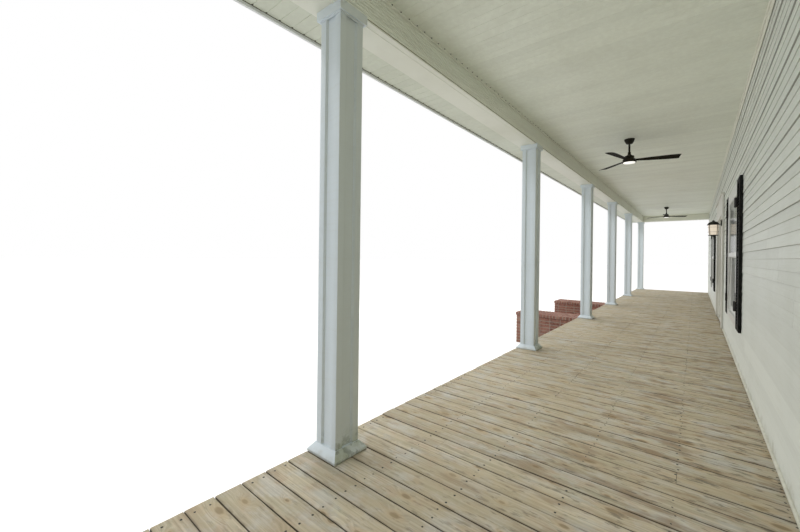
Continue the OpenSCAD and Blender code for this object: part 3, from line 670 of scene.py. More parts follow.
def softened(name, material, slot, ease, segments, *nodes, body="porch"):
    """Copies of CAD nodes, in one piece, with their hard edges rounded."""
    flat, hard = math.radians(1.0), math.radians(25)
    work = gathered(*nodes)
    bmesh.ops.dissolve_limit(work, angle_limit=flat, verts=work.verts, edges=work.edges)
    edges = [e for e in work.edges if len(e.link_faces) == 2 and e.calc_face_angle(0.0) > hard]
    bmesh.ops.bevel(work, geom=edges, offset=ease, segments=segments, profile=0.65,
                    affect="EDGES", clamp_overlap=True)
    bmesh.ops.recalc_face_normals(work, faces=work.faces)
    recoat(name, work, material, body, nodes, 40)


def islands(node):
    """Boxes of the separate solids in a CAD node."""
    work = gathered(node)
    seen, boxes = set(), []
    for start in work.verts:
        if start in seen:
            continue
        group, stack = [], [start]
        seen.add(start)
        while stack:
            corner = stack.pop()
            group.append(corner.co.copy())
            for edge in corner.link_edges:
                other = edge.other_vert(corner)
                if other not in seen:
                    seen.add(other)
                    stack.append(other)
        boxes.append([Vector([pick(c[k] for c in group) for k in range(3)])
                      for pick in (min, max)])
    work.free()
    return boxes


# Deck

RIM_LOW, RIM_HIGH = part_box("front_rim")
JOIST_LINES = [(RIM_LOW.x + RIM_HIGH.x) / 2] + sorted(
    (low.x + high.x) / 2 for low, high in islands("floor_joists"))


def plank(form, from_y, to_y, from_x, to_x, chance):
    """A deck board with eased edges, a slight bow, crook and cup."""
    station, ease = 0.28, 0.004
    rim, foot = ease * 0.35, DECK_LOW.z
    stations = max(2, round((to_x - from_x) / station))
    sink, crook, cup = (chance.uniform(*span) for span in (
        (0.0, 0.0016), (-0.0012, 0.0012), (-0.0008, 0.0004)))
    turn = chance.uniform(0, 6.28)
    rings = []
    for i in range(stations + 1):
        x = from_x + i / stations * (to_x - from_x)
        top = DECK_TOP - sink - 0.0008 * (1 + math.sin(turn + 4.2 * x))
        left, right = (y + crook * math.sin(2.1 * x + turn) for y in (from_y, to_y))
        rings.append([(x, left, foot), (x, right, foot), (x, right, top - ease),
                      (x, right - rim, top - rim), (x, right - ease, top),
                      (x, (left + right) / 2, top + cup), (x, left + ease, top),
                      (x, left + rim, top - rim), (x, left, top - ease)])
    form.run(rings)


def build_deck():
    chance = random.Random(41)
    form, nails = Form(), Form()
    sliver = 0.05                       # no board at the ends is narrower
    jointed = 0.10                      # share of the boards with a butt joint
    first = math.ceil((DECK_LOW.y + sliver - BOARD_JOINT) / BOARD_PITCH)
    last = math.floor((DECK_HIGH.y - sliver - BOARD_JOINT) / BOARD_PITCH)
    lines = ([DECK_LOW.y] + [BOARD_JOINT + k * BOARD_PITCH for k in range(first, last + 1)]
             + [DECK_HIGH.y])
    for from_y, to_y in zip(lines, lines[1:]):
        gap = chance.uniform(0.0014, 0.0036)
        low, high = from_y + gap, to_y - gap
        cuts = [DECK_LOW.x + chance.uniform(0.0, 0.007), WALL_FACE - 0.006]
        near_joint = from_y <= BUTT_JOINT[1] < to_y
        if near_joint or chance.random() < jointed:
            at = BUTT_JOINT[0] if near_joint else chance.choice(JOIST_LINES[2:5])
            cuts[1:1] = [at - 0.001, at + 0.001]
        for k in range(0, len(cuts), 2):
            plank(form, low, high, cuts[k], cuts[k + 1], chance)
        for x in JOIST_LINES:
            for side in (0.24, 0.76):
                y = low + side * (high - low) + chance.uniform(-0.006, 0.006)
                nails.lathe((x + chance.uniform(-0.008, 0.008), y, DECK_TOP - 0.0026),
                            [(0.0054, 0.0), (0.0062, 0.0010), (0.0040, 0.0017)], 7)
    make("deck_planks", form, [DECK], "deck_pine", "deck_boards", angle=50)
    make("deck_nails", nails, [BLACK_IRON], "dark_metal")


def build_framing():
    softened("framing_timbers", FRAMING, "framing_pine", 0.004, 2, "floor_joists",
             "floor_girders", "front_rim", "end_rims")
    softened("rafter_timbers", FRAMING, "framing_pine", 0.003, 1, "roof_rafters")


# Masonry

class Masonry(Form):
    """Bricks over beds of mortar, and the chance that sets each a little back."""

    def __init__(self, chance):
        super().__init__()
        self.chance = chance

    def row(self, axis, fixed, start, stop, foot, head, offset, unit=BRICK_LONG + MORTAR):
        """Bricks laid end to end along an axis (0 for X, 1 for Y) between two fixed faces."""
        count = max(1, round((stop - start) / unit))
        length = (stop - start) / count
        marks = [start + length * i for i in range(count + 1)]
        if offset and count > 1:
            marks = [start] + [m - length / 2 for m in marks[1:]] + [stop]
        for a, b in zip(marks, marks[1:]):
            back = self.chance.uniform(0.0, 0.0016)
            low, high = [0, 0, foot + MORTAR / 2], [0, 0, head - MORTAR / 2]
            low[axis] = a + (MORTAR / 2 if a > start else 0)
            high[axis] = b - (MORTAR / 2 if b < stop else 0)
            low[1 - axis], high[1 - axis] = fixed[0] + back, fixed[1] - back
            self.block(low, high, 0.004)

    def bed(self, low, high, skin):
        """Mortar that stays a skin's depth behind the bricks."""
        self.block([c + skin for c in low], [c - skin for c in high], 0, 1)

    def mass(self, low, high):
        """Courses of bricks round the edge of a bed of mortar."""
        courses = max(1, round((high[2] - low[2]) / COURSE))
        rise = (high[2] - low[2]) / courses
        leaf = [min(BRICK_DEEP, (high[k] - low[k]) / 2) for k in (0, 1)]
        one_leaf = high[0] - low[0] < 2.4 * BRICK_DEEP
        for i in range(courses):
            foot, head = low[2] + i * rise, low[2] + (i + 1) * rise
            if one_leaf:
                self.row(1, (low[0], high[0]), low[1], high[1], foot, head, i % 2)
                continue
            for near in (True, False):
                x, y = ((low[k], low[k] + leaf[k]) if near else (high[k] - leaf[k], high[k])
                        for k in (0, 1))
                turn = leaf[1] + MORTAR if i % 2 else 0.0
                self.row(1, x, low[1] + turn, high[1] - turn, foot, head, i % 2)
                turn = 0.0 if i % 2 else leaf[0] + MORTAR
                self.row(0, y, low[0] + turn, high[0] - turn, foot, head, i % 2)
        self.bed(low, high, 0.006)

    def cap(self, low, high, along, rows):
        """Bricks on edge side by side along an axis, in rows across it."""
        start = low[1 - along]
        depth = (high[1 - along] - start) / rows
        for row in range(rows):
            fixed = (start + row * depth + (MORTAR / 2 if row else 0),
                     start + (row + 1) * depth - (MORTAR / 2 if row < rows - 1 else 0))
            self.row(along, fixed, low[along], high[along], low[2] - MORTAR / 2 + 0.001,
                     high[2] + MORTAR / 2, False, COURSE)
        self.bed(low, high, 0.005)


def build_masonry():
    chance = random.Random(12)
    over = 0.012                        # how far treads and caps stand out
    foundation, piers, steps, cheeks = (Masonry(chance) for _ in range(4))
    foundation.mass(*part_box("foundation_wall"))
    low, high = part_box("brick_piers")
    half = (high.x - low.x) / 2
    for y in COLUMN_Y:
        piers.mass((low.x, y - half, low.z), (high.x, y + half, high.z))

    low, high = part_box("brick_steps")
    rise, going = high.z / RISERS, (high.x - low.x) / RISERS
    for i in range(RISERS):
        front, top = low.x + i * going, (i + 1) * rise
        tread = top - COURSE
        steps.mass((front + over, low.y, i * rise - 0.02 if i else 0.0),
                   (high.x, high.y, tread))
        steps.cap((front, low.y, tread), (min(front + going + 0.03, high.x), high.y, top), 1, 2)

    cheek_low, cheek_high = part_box("cheek_walls")
    cap = cheek_high.z - COURSE
    for from_y, to_y, near, far in ((cheek_low.y, low.y, over, 0.0),
                                    (high.y, cheek_high.y, 0.0, over)):
        cheeks.mass((cheek_low.x + over, from_y + near, 0.0), (cheek_high.x, to_y - far, cap))
        cheeks.cap((cheek_low.x, from_y, cap), (cheek_high.x, to_y, cheek_high.z), 0, 3)

    for name, form, node in (("foundation", foundation, "foundation_wall"),
                             ("pier", piers, "brick_piers"), ("step", steps, "brick_steps"),
                             ("cheek", cheeks, "cheek_walls")):
        make(f"{name}_bricks", form, [BRICK, MORTAR_BED], "red_brick", node)


# House wall

def laps(form, place, spans, foot, head, chance):
    """Lap siding. place(u, z, out) gives a point, spans(low, high) the stretches of a lap
    without holes."""
    first = math.floor((foot - LAP_FOOT) / LAP_PITCH)
    last = math.ceil((head - LAP_FOOT) / LAP_PITCH)
    for k in range(first, last):
        low, high = LAP_FOOT + k * LAP_PITCH, LAP_FOOT + (k + 1) * LAP_PITCH
        low, high = max(low, foot), min(high, head)
        if high - low < 0.004:
            continue
        lock = (k - 1) % 3 == 0
        out = LAP_DEPTH if lock else LAP_DEPTH - 0.0015
        tuck = 0.0035 if k % 3 == 0 else 0.0062
        shift = (k - (k - 1) % 3) * PANEL_STAGGER % PANEL_LONG
        ends = [shift - 12 + PANEL_LONG * i for i in range(8)]      # past both ends of the wall
        for start, stop in spans(low, high):
            joints = [start] + [j for j in ends if start + 0.1 < j < stop - 0.1] + [stop]
            for a, b in zip(joints, joints[1:]):
                steps = max(1, round((b - a) / LAP_STATION))
                rings = []
                for i in range(steps + 1):
                    u = a + (b - a) * i / steps
                    wave = chance.uniform(-0.0004, 0.0004)
                    rings.append([place(u, z, d) for z, d in (
                        (low, 0.0), (low, out - 0.0015 + wave), (low + 0.0015, out + wave),
                        (high - 0.006, tuck + 0.0006 + wave), (high + 0.002, tuck - 0.001),
                        (high + 0.002, 0.0))])
                # lock laps take the second material, with deeper painted shade on faces that look
                # down
                form.run(rings, 1 if lock else 0)


def build_walls():
    chance = random.Random(5)
    form = Form()
    lining = 0.06                       # casing past the hole in the wall
    bite = 0.011                        # how far a hole reaches into a lap before it is cut
    holes = [(low.y + lining, high.y - lining, low.z + lining, high.z - lining)
             for low, high in (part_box("near_window_frame"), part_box("far_window_frame"))]
    (low, high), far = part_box("near_wall"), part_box("far_wall")
    start, stop, foot, head = low.y, far[1].y, low.z, high.z
    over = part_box("over_door_wall")
    holes.append((over[0].y, over[1].y, foot, over[0].z))

    def spans(bottom, top):
        stretches = [(start, stop)]
        for from_y, to_y, from_z, to_z in holes:
            if min(top, to_z) - max(bottom, from_z) > bite:
                stretches = [part for a, b in stretches
                             for part in (((a, min(b, from_y)), (max(a, to_y), b))
                                          if a < from_y and to_y < b else ((a, b),))
                             if part[1] - part[0] > 0.01]
        return stretches

    def place(u, z, out):
        return (WALL_FACE + LAP_DEPTH - out, u, z)

    laps(form, place, spans, foot, CEILING_LOW.z + 0.05, chance)
    laps(form, place, spans, ROOF_HIGH.z - 0.02, head - 0.002, chance)
    make("siding_laps", form, [SIDING, SIDING_LOCK_DEEP_SHADE], "siding")

    walls = ("near_wall", "far_wall", "over_door_wall")
    work = gathered(*walls)
    for corner in work.verts:
        if abs(corner.co.x - WALL_FACE) < 0.001:
            corner.co.x += LAP_DEPTH
    bmesh.ops.dissolve_limit(work, angle_limit=0.02, verts=work.verts, edges=work.edges)
    recoat("wall_core", work, PLASTER, "porch", walls)

    cap = Form()
    cap.block((WALL_FACE, start, head - 0.004), (high.x, stop, head), 0.001)
    for from_y, to_y in ((start, start + 0.05), (stop - 0.05, stop)):
        cap.block((WALL_FACE - 0.004, from_y, foot), (WALL_FACE + 0.02, to_y, head), 0.003)
    make("wall_corner_trim", cap, [TRIM], "trim")

    strip = Form()
    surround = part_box("door_frame")
    outline = [(WALL_FACE + x, DECK_TOP + z) for x, z in (
        (0.012, 0.0005), (-0.011, 0.0005), (-0.011, 0.006), (-0.006, 0.014), (0.0, 0.018),
        (0.012, 0.018))]
    strip.along(outline, DECK_LOW.y, surround[0].y + 0.03)
    strip.along(outline, surround[1].y - 0.03, DECK_HIGH.y)
    make("wall_foot_strip", strip, [TRIM], "trim")


def rafter_line(x):
    """Underside of the roof deck at x."""
    low, high = ROOF_LOW, ROOF_HIGH
    return low.z + (high.z - ROOF_THICK - low.z) * (x - low.x) / (high.x - low.x)


def build_gables():
    """Lap siding on the outer faces of the closed roof ends."""
    chance = random.Random(6)
    softened("gable_core", TRIM, "siding", 0.002, 1, "gable_walls")
    low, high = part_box("gable_walls")
    roof_foot, roof_head = rafter_line(low.x), rafter_line(high.x)
    form = Form()
    relief = 0.4                        # the laps stand out less here

    def spans(bottom, top):
        start = low.x + max(0.0, (top - roof_foot) / (roof_head - roof_foot)) * (high.x - low.x)
        start = max(start, BEAM_LOW.x + 0.01)
        return [(start, high.x)] if bottom >= BEAM_HIGH.z and high.x - start > 0.02 else []

    for side in (-1, 1):
        laps(form, lambda u, z, out: (u, side * (high.y + out * relief), z), spans, BEAM_HIGH.z,
             roof_head - 0.01, chance)
    make("gable_laps", form, [SIDING, SIDING_LOCK_DEEP_SHADE], "siding")


# Columns

COLUMN_BOXES = [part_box(f"column_{i}") for i in range(1, 8)]
COLUMN_Y = [(low.y + high.y) / 2 for low, high in COLUMN_BOXES]


def build_columns():
    """A bead under each collar, and a stepped strip along both sides of every sunk panel."""
    for i in range(1, 8):
        softened(f"column_shaft_{i}", WRAP, "column_wrap", 0.0035, 2, f"column_{i}")
    softened("column_skirts", WRAP, "column_wrap", 0.003, 2, "column_bases")
    softened("column_heads", WRAP, "column_wrap", 0.002, 2, "column_collars")
    beads, strips = Form(), Form()
    low, high = COLUMN_BOXES[0]
    middle_x, half = (low.x + high.x) / 2, (high.x - low.x) / 2
    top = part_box("column_collars")[0].z
    foot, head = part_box("column_bases")[1].z + 0.002, top - 0.002
    bead = ((-0.004, 0.0), (0.001, 0.001), (0.003, 0.004), (0.003, 0.008), (-0.004, 0.008))
    step = ((0.0, -0.001), (0.0, 0.0075), (0.004, 0.0075), (0.0055, 0.0045), (0.0085, 0.0035),
            (0.0095, -0.001))
    for y in COLUMN_Y:
        for turn in angles(4):
            along = Vector((math.cos(turn), math.sin(turn), 0))
            out = Vector((-math.sin(turn), math.cos(turn), 0))
            middle = Vector((middle_x, y, 0))
            centre = middle + out * (half + 0.003)
            beads.run([[tuple(centre + along * side * (half + 0.006) + out * d
                              + UP * (top - 0.008 + h)) for d, h in bead] for side in (-1, 1)])
            for side in (-1, 1):
                edge = middle + along * side * PANEL_HALF + out * (half - PANEL_SINK)
                strips.run([[tuple(edge - along * side * a + out * d + UP * z)
                             for a, d in step] for z in (foot, head)])
    make("column_beads", beads, [WRAP], "column_wrap")
    make("column_panel_strips", strips, [WRAP], "column_wrap")


# Beam, ceiling, eave

def drawn(a, b, *outline):
    """An outline drawn from the point (a, b)."""
    return [(a + u, b + v) for u, v in outline]


def groove_lines(phase, low, high):
    """The grooves of a run of panels between two places along the porch."""
    first, last = (math.ceil((end - phase) / GROOVE_PITCH) for end in (low, high))
    return [phase + k * GROOVE_PITCH for k in range(first, last)]


def grooved(form, low, high, from_y, to_y, phase, depth):
    """Panel boards across the porch with a V groove between each two."""
    lines = [y for y in groove_lines(phase, from_y, to_y) if from_y + 0.01 < y < to_y - 0.01]
    for a, b in zip([from_y] + lines, lines + [to_y]):
        form.across([(a, high.z), (a, low.z + depth), (a + 0.003, low.z), (b - 0.003, low.z),
                     (b, low.z + depth), (b, high.z)], low.x, high.x)


def build_beam():
    form, joint, channel, holes = (Form() for _ in range(4))
    outer, inner, foot, top = BEAM_LOW.x, BEAM_HIGH.x, BEAM_LOW.z, BEAM_HIGH.z
    outline = [(outer, foot)]
    outline += drawn(inner - 0.058, foot, (0, 0), (0.002, -0.007), (0.010, -0.008),
                     (0.012, -0.0055))
    outline += drawn(inner, foot, (-0.010, -0.0055), (-0.008, -0.008), (-0.002, -0.008),
                     (0, -0.006), (0, 0.001), (-0.006, 0.002), (-0.006, 0.007), (0, 0.009))
    for rib in (0.026 + 0.0235 * i for i in range(8)):
        outline += drawn(inner, foot + rib, (0, 0), (-0.004, 0.002), (-0.004, 0.006), (0, 0.007))
    outline += [(inner, top), (outer, top)]
    length, steps = BEAM_HIGH.y - BEAM_LOW.y, 40
    form.along(outline, *(BEAM_LOW.y + length * i / steps for i in range(steps + 1)))
    make("beam_cladding", form, [TRIM], "trim", "front_beam", angle=30)
    softened("end_beam_cladding", TRIM, "trim", 0.003, 2, "end_beams")
    # painted shadow: a dark strip in the recess at the beam's inner foot
    joint.block((inner - 0.007, BEAM_LOW.y + 0.002, foot + 0.0015),
                (inner - 0.0012, BEAM_HIGH.y - 0.002, foot + 0.0075))
    make("beam_foot_painted_shadow", joint, [BROWN_PAINTED_SHADOW], "trim")

    # The channel that takes the ends of the ceiling panels, and a dark block of painted shade in
    # the end of each groove
    low, high, lip, deep = CEILING_LOW, CEILING_HIGH, 0.010, 0.016
    for x, out in ((low.x, 1), (high.x - (FRIEZE_HIGH.x - FRIEZE_LOW.x), -1)):
        channel.along(drawn(x, low.z, (0, 0), (out * lip, 0), (out * lip, 0.003 - deep),
                            (out * (lip - 0.003), -deep), (0, -deep)), low.y, high.y)
    for y, out in ((low.y, 1), (high.y, -1)):
        channel.across(drawn(y, low.z, (0, 0), (out * lip, 0), (out * lip, -deep), (0, -deep)),
                       low.x, high.x)
    make("ceiling_channel", channel, [TRIM], "trim", angle=30)
    for y in groove_lines(CEILING_GROOVE, low.y, high.y):
        holes.block((low.x + 0.004, y - 0.0045, low.z - 0.004),
                    (low.x + lip + 0.005, y + 0.0045, low.z + 0.002), 0.001)
    low = SOFFIT_LOW
    for y in groove_lines(SOFFIT_GROOVE, low.y, SOFFIT_HIGH.y):
        holes.block((low.x - 0.001, y - 0.006, low.z - 0.001),
                    (low.x + 0.014, y + 0.006, low.z + 0.003), 0.001)
    make("groove_ends", holes, [SHADOW_GAP], "ceiling_panel")


def build_ceiling():
    form, strip, eave, shadow, frieze = (Form() for _ in range(5))
    low, high = CEILING_LOW, CEILING_HIGH
    grooved(form, low, high, low.y, CEILING_JOINT - 0.012, CEILING_GROOVE, 0.0023)
    grooved(form, low, high, CEILING_JOINT + 0.012, high.y, CEILING_GROOVE + 0.03, 0.0023)
    make("ceiling_panels", form, [CEILING], "ceiling_panel", "porch_ceiling")
    strip.block((low.x, CEILING_JOINT - 0.019, low.z - 0.003),
                (high.x, CEILING_JOINT + 0.019, low.z + 0.003), 0.0015)
    make("ceiling_joint_strip", strip, [CEILING], "ceiling_panel")

    low, high = SOFFIT_LOW, SOFFIT_HIGH
    grooved(eave, low, high, low.y, high.y, SOFFIT_GROOVE, 0.003)
    make("soffit_panels", eave, [SOFFIT], "ceiling_panel", "eave_soffit")
    softened("rake_soffit_panels", SOFFIT, "ceiling_panel", 0.001, 1, "rake_soffits")
    # painted shadow: a grey strip along the soffit's outer edge
    shadow.along(drawn(low.x, low.z, (0, -0.0012), (0.006, -0.0012), (0.006, 0.002), (0, 0.002)),
                 low.y + 0.01, high.y - 0.01)
    make("soffit_shadow_line", shadow, [GREY_PAINTED_SHADOW], "ceiling_panel")
    softened("fascia_cover", FASCIA, "fascia", 0.0025, 2, "fascia_board")
    softened("rake_cover", FASCIA, "fascia", 0.0025, 2, "rake_boards")

    low, high = FRIEZE_LOW, FRIEZE_HIGH
    moulding = drawn(low.x, low.z, (0.010, 0), (0.008, 0.004), (0.004, 0.007), (0.001, 0.013),
                     (0, 0.017))
    frieze.along([(high.x, low.z), *moulding, (low.x, high.z), (high.x, high.z)], low.y, high.y)
    make("frieze_moulding", frieze, [TRIM], "trim", "frieze_board", angle=50)


def build_roof():
    """Courses of felt tabs over the sloping roof deck, and the flashing at the wall."""
    chance = random.Random(77)
    low, high = ROOF_LOW, ROOF_HIGH
    softened("roof_boards", SHINGLE, "shingles", 0.002, 1, "roof_deck")
    form, flashing = Form(), Form()
    for i in range(math.ceil((high.x - low.x) / SHINGLE_COURSE)):
        x0 = low.x + i * SHINGLE_COURSE
        x1 = min(x0 + SHINGLE_COURSE + 0.03, high.x)
        z0, z1 = (rafter_line(x) + ROOF_THICK for x in (x0, x1))
        y = low.y - (SHINGLE_TAB / 2 if i % 2 else 0.0)
        while y < high.y:
            a, b = max(y + 0.003, low.y), min(y + SHINGLE_TAB - 0.003, high.y)
            if b - a > 0.02:
                lift = 0.006 + chance.uniform(0.0, 0.0025)
                form.along([(x0, z0 + 0.0005), (x1, z1 + 0.0005), (x1, z1 + 0.0015),
                            (x0, z0 + lift)], a, b)
            y += SHINGLE_TAB
    make("shingle_tabs", form, [SHINGLE], "shingles")

    start = high.x - 0.11
    foot = rafter_line(start) + ROOF_THICK
    climb = 0.106 * (rafter_line(1.0) - rafter_line(0.0))
    flashing.along([(start, foot + 0.009), (high.x - 0.004, foot + 0.009 + climb),
                    *drawn(high.x, high.z, (-0.004, 0.07), (-0.001, 0.07), (-0.001, -0.004)),
                    (start, foot + 0.007)], low.y, high.y)
    flashing.along(drawn(low.x, rafter_line(low.x), (-0.002, -0.012), (0.001, -0.012),
                         (0.001, 0.036), (0.03, 0.044), (-0.002, 0.038)), low.y, high.y)
    make("roof_flashing", flashing, [ZINC], "fascia", angle=30)


# Windows and shutters

def build_windows():
    for side in ("near", "far"):
        softened(f"{side}_window_sashes", FRAME_WHITE, "window_frame", 0.0025, 2,
                 f"{side}_window_frame")
    clear, dark, blinds, beads = (Form() for _ in range(4))
    bead, sidelight, meeting_rail = 0.010, 0.6, 1.7
    for low, high in sorted(islands("window_glass"), key=lambda box: (box[0].y, box[0].z)):
        in_window = high.y - low.y > sidelight
        upper = in_window and low.z > meeting_rail
        # dark panes are painted shade of the unlit room behind; below the blinds the lower sash
        # turns dark
        if in_window and not upper:
            clear.block((low.x, low.y, BLIND_FOOT), high)
            dark.block(low, (high.x, high.y, BLIND_FOOT))
        else:
            (clear if upper else dark).block(low, high, 0.0008)
        for from_y, to_y, foot, head in (
                (low.y, high.y, low.z, low.z + bead), (low.y, high.y, high.z - bead, high.z),
                (low.y, low.y + bead, low.z + bead, high.z - bead),
                (high.y - bead, high.y, low.z + bead, high.z - bead)):
            beads.block((low.x - 0.006, from_y, foot), (high.x + 0.006, to_y, head), 0.002)
        if upper:
            for i in range(round((high.z + 0.02 - BLIND_FOOT) / SLAT)):
                blinds.along(drawn(high.x + 0.050, BLIND_FOOT - 0.012 + i * SLAT, (0.002, 0),
                                   (-0.003, 0.025), (0.002, 0.049), (0.004, 0.049),
                                   (-0.001, 0.025), (0.004, 0)), low.y - 0.03, high.y + 0.03)
    make("room_shade_panes", dark, [ROOM_SHADE_PANE], "pane", "window_glass")
    make("clear_panes", clear, [CLEAR_PANE], "pane")
    make("window_blinds", blinds, [BLIND], "trim")
    make("glazing_beads", beads, [FRAME_WHITE], "window_frame")


def build_shutters():
    form, iron = Form(), Form()
    windows = [sum(corner.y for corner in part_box(f"{side}_window_frame")) / 2
               for side in ("near", "far")]
    rail, louvre = 0.052, 0.034
    for low, high in islands("window_shutters"):
        start, stop = low.y + rail, high.y - rail
        rails = (low.z, (low.z + high.z) / 2 - rail / 2, high.z - rail)
        for y in (low.y, stop):
            form.block((low.x, y, low.z), (high.x, y + rail, high.z), 0.003)
        for z in rails:
            form.block((low.x + 0.001, start, z), (high.x, stop, z + rail), 0.002)
        for below, head in zip(rails, rails[1:]):
            foot = below + rail
            form.block((high.x - 0.006, start, foot), (high.x, stop, head))
            count = round((head - foot) / louvre)
            pitch = (head - foot) / count
            for i in range(count):
                z = foot + i * pitch
                form.along([(low.x + 0.003, z + 0.001), (low.x + 0.0055, z),
                            (high.x - 0.005, z + pitch * 1.02),
                            (high.x - 0.008, z + pitch * 1.12)], start, stop)
        hinge = min((low.y, high.y), key=lambda edge: min(abs(edge - y) for y in windows))
        inward = 1 if hinge == low.y else -1
        knuckle = hinge - inward * 0.012
        for z in (low.z + 0.20, high.z - 0.31):
            from_y, to_y = sorted((knuckle, hinge + inward * 0.034))
            iron.block((low.x - 0.012, from_y, z), (low.x + 0.004, to_y, z + 0.11), 0.003)
            iron.lathe((low.x - 0.012, knuckle, z - 0.004),
                       [(0.0, 0.0), (0.006, 0.001), (0.009, 0.006), (0.009, 0.112),
                        (0.006, 0.117), (0.0001, 0.118)], 14)
            for up in (0.025, 0.085):
                iron.stud((low.x - 0.014, hinge + inward * 0.018, z + up - 0.005),
                          0.0045, 0.010, 6)
    make("shutter_louvres", form, [SHUTTER], "shutter", "window_shutters")
    make("shutter_hinges", iron, [BLACK_IRON], "dark_metal")


# Front door and lantern

def build_door():
    softened("door_surround", DOOR_PAINT, "door_paint", 0.003, 2, "door_frame")
    softened("door_leaf", DOOR_PAINT, "door_paint", 0.002, 2, "front_door", body="entrance_door")
    softened("door_hinge_pins", BRONZE, "dark_metal", 0.0008, 1, "door_hinges")
    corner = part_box("front_door")[0]
    form, knob = Form(), Form()
    # a raised field and its sloping edge in each of the six panels
    stile, leaf_wide, leaf_tall, leaf_thick = 0.115, 0.914, 2.032, 0.045
    wide = (leaf_wide - 3 * stile) / 2
    for side in (0, 1):
        y0 = corner.y + stile + side * (wide + stile)
        for foot, head in ((0.10, 0.36), (0.46, 0.80), (0.855, 0.945)):
            z0, z1 = corner.z + foot * leaf_tall, corner.z + head * leaf_tall
            rings = []
            for inset, depth in ((0.012, 0.0075), (0.016, 0.0075), (0.040, 0.0025),
                                 (0.044, 0.0025)):
                left, right, low, high = y0 + inset, y0 + wide - inset, z0 + inset, z1 - inset
                rings.append([(corner.x + depth, y, z) for y, z in (
                    (left, low), (right, low), (right, high), (left, high))])
            form.run(rings)
    make("door_raised_fields", form, [DOOR_PAINT], "door_paint", body="entrance_door", angle=20)

    low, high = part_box("door_knob")
    radius = (high.y - low.y) / 2
    outline = [(0.0005, 0.0), (radius, 0.0005), (radius, 0.003), (radius * 0.93, 0.006),
               (radius * 0.5, 0.008), (0.0115, 0.011), (0.0095, 0.020), (0.0105, 0.028)]
    outline += [(radius * 0.98 * math.cos(a), 0.044 + 0.0178 * math.sin(a))
                for a in map(math.radians, range(-55, 90, 12))] + [(0.0005, 0.0619)]
    for face, tilt in ((corner.x, -90), (corner.x + leaf_thick, 90)):
        knob.lathe((face, (low.y + high.y) / 2, (low.z + high.z) / 2), outline, 40,
                   Matrix.Rotation(math.radians(tilt), 3, "Y"))
    make("door_knob_turned", knob, [BRONZE], "dark_metal", "door_knob", body="entrance_door")


def build_lantern():
    """A seeded glass lantern with a hood, four bars, a scroll arm and a lit lamp."""
    low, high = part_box("wall_lantern")
    y, foot, tall = (low.y + high.y) / 2, low.z, high.z - low.z
    radius = (high.y - low.y) / 2
    x = low.x + radius
    at, hood = (x, y, foot), tall - 0.088
    iron, glass = Form(), Form()
    iron.lathe(at, [(0.0005, 0.0), (0.010, 0.002), (0.014, 0.010), (0.008, 0.016), (0.030, 0.020),
                    (radius * 0.82, 0.026), (radius * 0.84, 0.032), (radius * 0.78, 0.036),
                    (0.0005, 0.037)], 40)
    iron.lathe(at, [(0.0005, hood), (radius * 0.90, hood), (radius, tall - 0.090),
                    (radius, tall - 0.080), (radius * 0.93, tall - 0.072),
                    (radius * 0.80, tall - 0.050), (radius * 0.52, tall - 0.032),
                    (radius * 0.26, tall - 0.024), (0.016, tall - 0.018), (0.018, tall - 0.010),
                    (0.010, tall - 0.002), (0.0005, tall)], 40)
    glass.lathe(at, [(radius * 0.70, 0.037), (radius * 0.78, tall * 0.35),
                     (radius * 0.83, tall - 0.089)], 40)
    for angle in (math.pi / 4 + turn for turn in angles(4)):
        across = Vector((math.cos(angle), math.sin(angle), 0))
        iron.tube([Vector(at) + across * radius * r + UP * h for r, h in (
            (0.76, 0.034), (0.81, tall * 0.22), (0.85, tall * 0.45), (0.90, hood))], 0.0042, 8)
    for h in (0.09, tall - 0.13):
        iron.tube([(x + radius * 0.87 * math.cos(a), y + radius * 0.87 * math.sin(a), foot + h)
                   for a in angles(36, 1)], 0.0018, 6)
    plate = high.z - 0.054
    for back, front, wide, half, ease in ((0.0, 0.006, 0.0575, 0.060, 0.003),
                                          (0.006, 0.014, 0.046, 0.048, 0.004)):
        iron.block((high.x - front, y - wide, plate - half),
                   (high.x - back, y + wide, plate + half), ease)
    reach = high.x - 0.012 - x
    iron.tube([(x + reach, y, plate - 0.02), (x + reach * 0.7, y, plate - 0.028),
               (x + reach * 0.35, y, plate + 0.004), (x + 0.012, y, plate + 0.030),
               (x, y, plate + 0.038)], 0.0072, 12)
    for up in (-0.040, 0.040):
        iron.stud((high.x - 0.017, y, plate + up - 0.004), 0.005, 0.008, 10)
    make("lantern_ironwork", iron, [BLACK_IRON], "dark_metal", "wall_lantern")
    make("lantern_glass", glass, [LANTERN_GLASS], "lamp_glass")


# Fans

def add_blades(form, centre, first, hub_z):
    """Three pitched blades that widen to a square tip."""
    start, reach, root, tip, pitch = 0.050, 0.5995, 0.064, 0.136, 11.0
    stations, across = 14, 8
    for i in range(3):
        angle = math.radians(first + 120 * i)
        out = Vector((math.cos(angle), math.sin(angle), 0))
        side = Vector((-math.sin(angle), math.cos(angle), 0))
        rings = []
        for k in range(stations + 1):
            t = k / stations
            half = (root + (tip - root) * min(1.0, t * 1.25) ** 0.8) / 2
            if k == stations:
                half -= 0.004
            twist = -math.radians(pitch * (0.55 + 0.45 * min(1.0, t * 3)))
            cos, sin = math.cos(twist), math.sin(twist)
            middle = Vector(centre) + out * (start + t * (reach - start))
            upper, lower = [], []
            for j in range(across + 1):
                s = 2 * j / across - 1
                camber = 0.005 * (1 - s * s)
                edge = (0.0052 - 0.0016 * t) * math.sqrt(max(0.0, 1 - s ** 6)) * 0.5 + 0.0008
                for row, height in ((upper, camber + edge), (lower, camber - edge)):
                    row.append(tuple(middle + side * (s * half * cos - height * sin)
                                     + UP * (hub_z + s * half * sin + height * cos)))
            rings.append(upper + lower[::-1])
        form.run(rings)


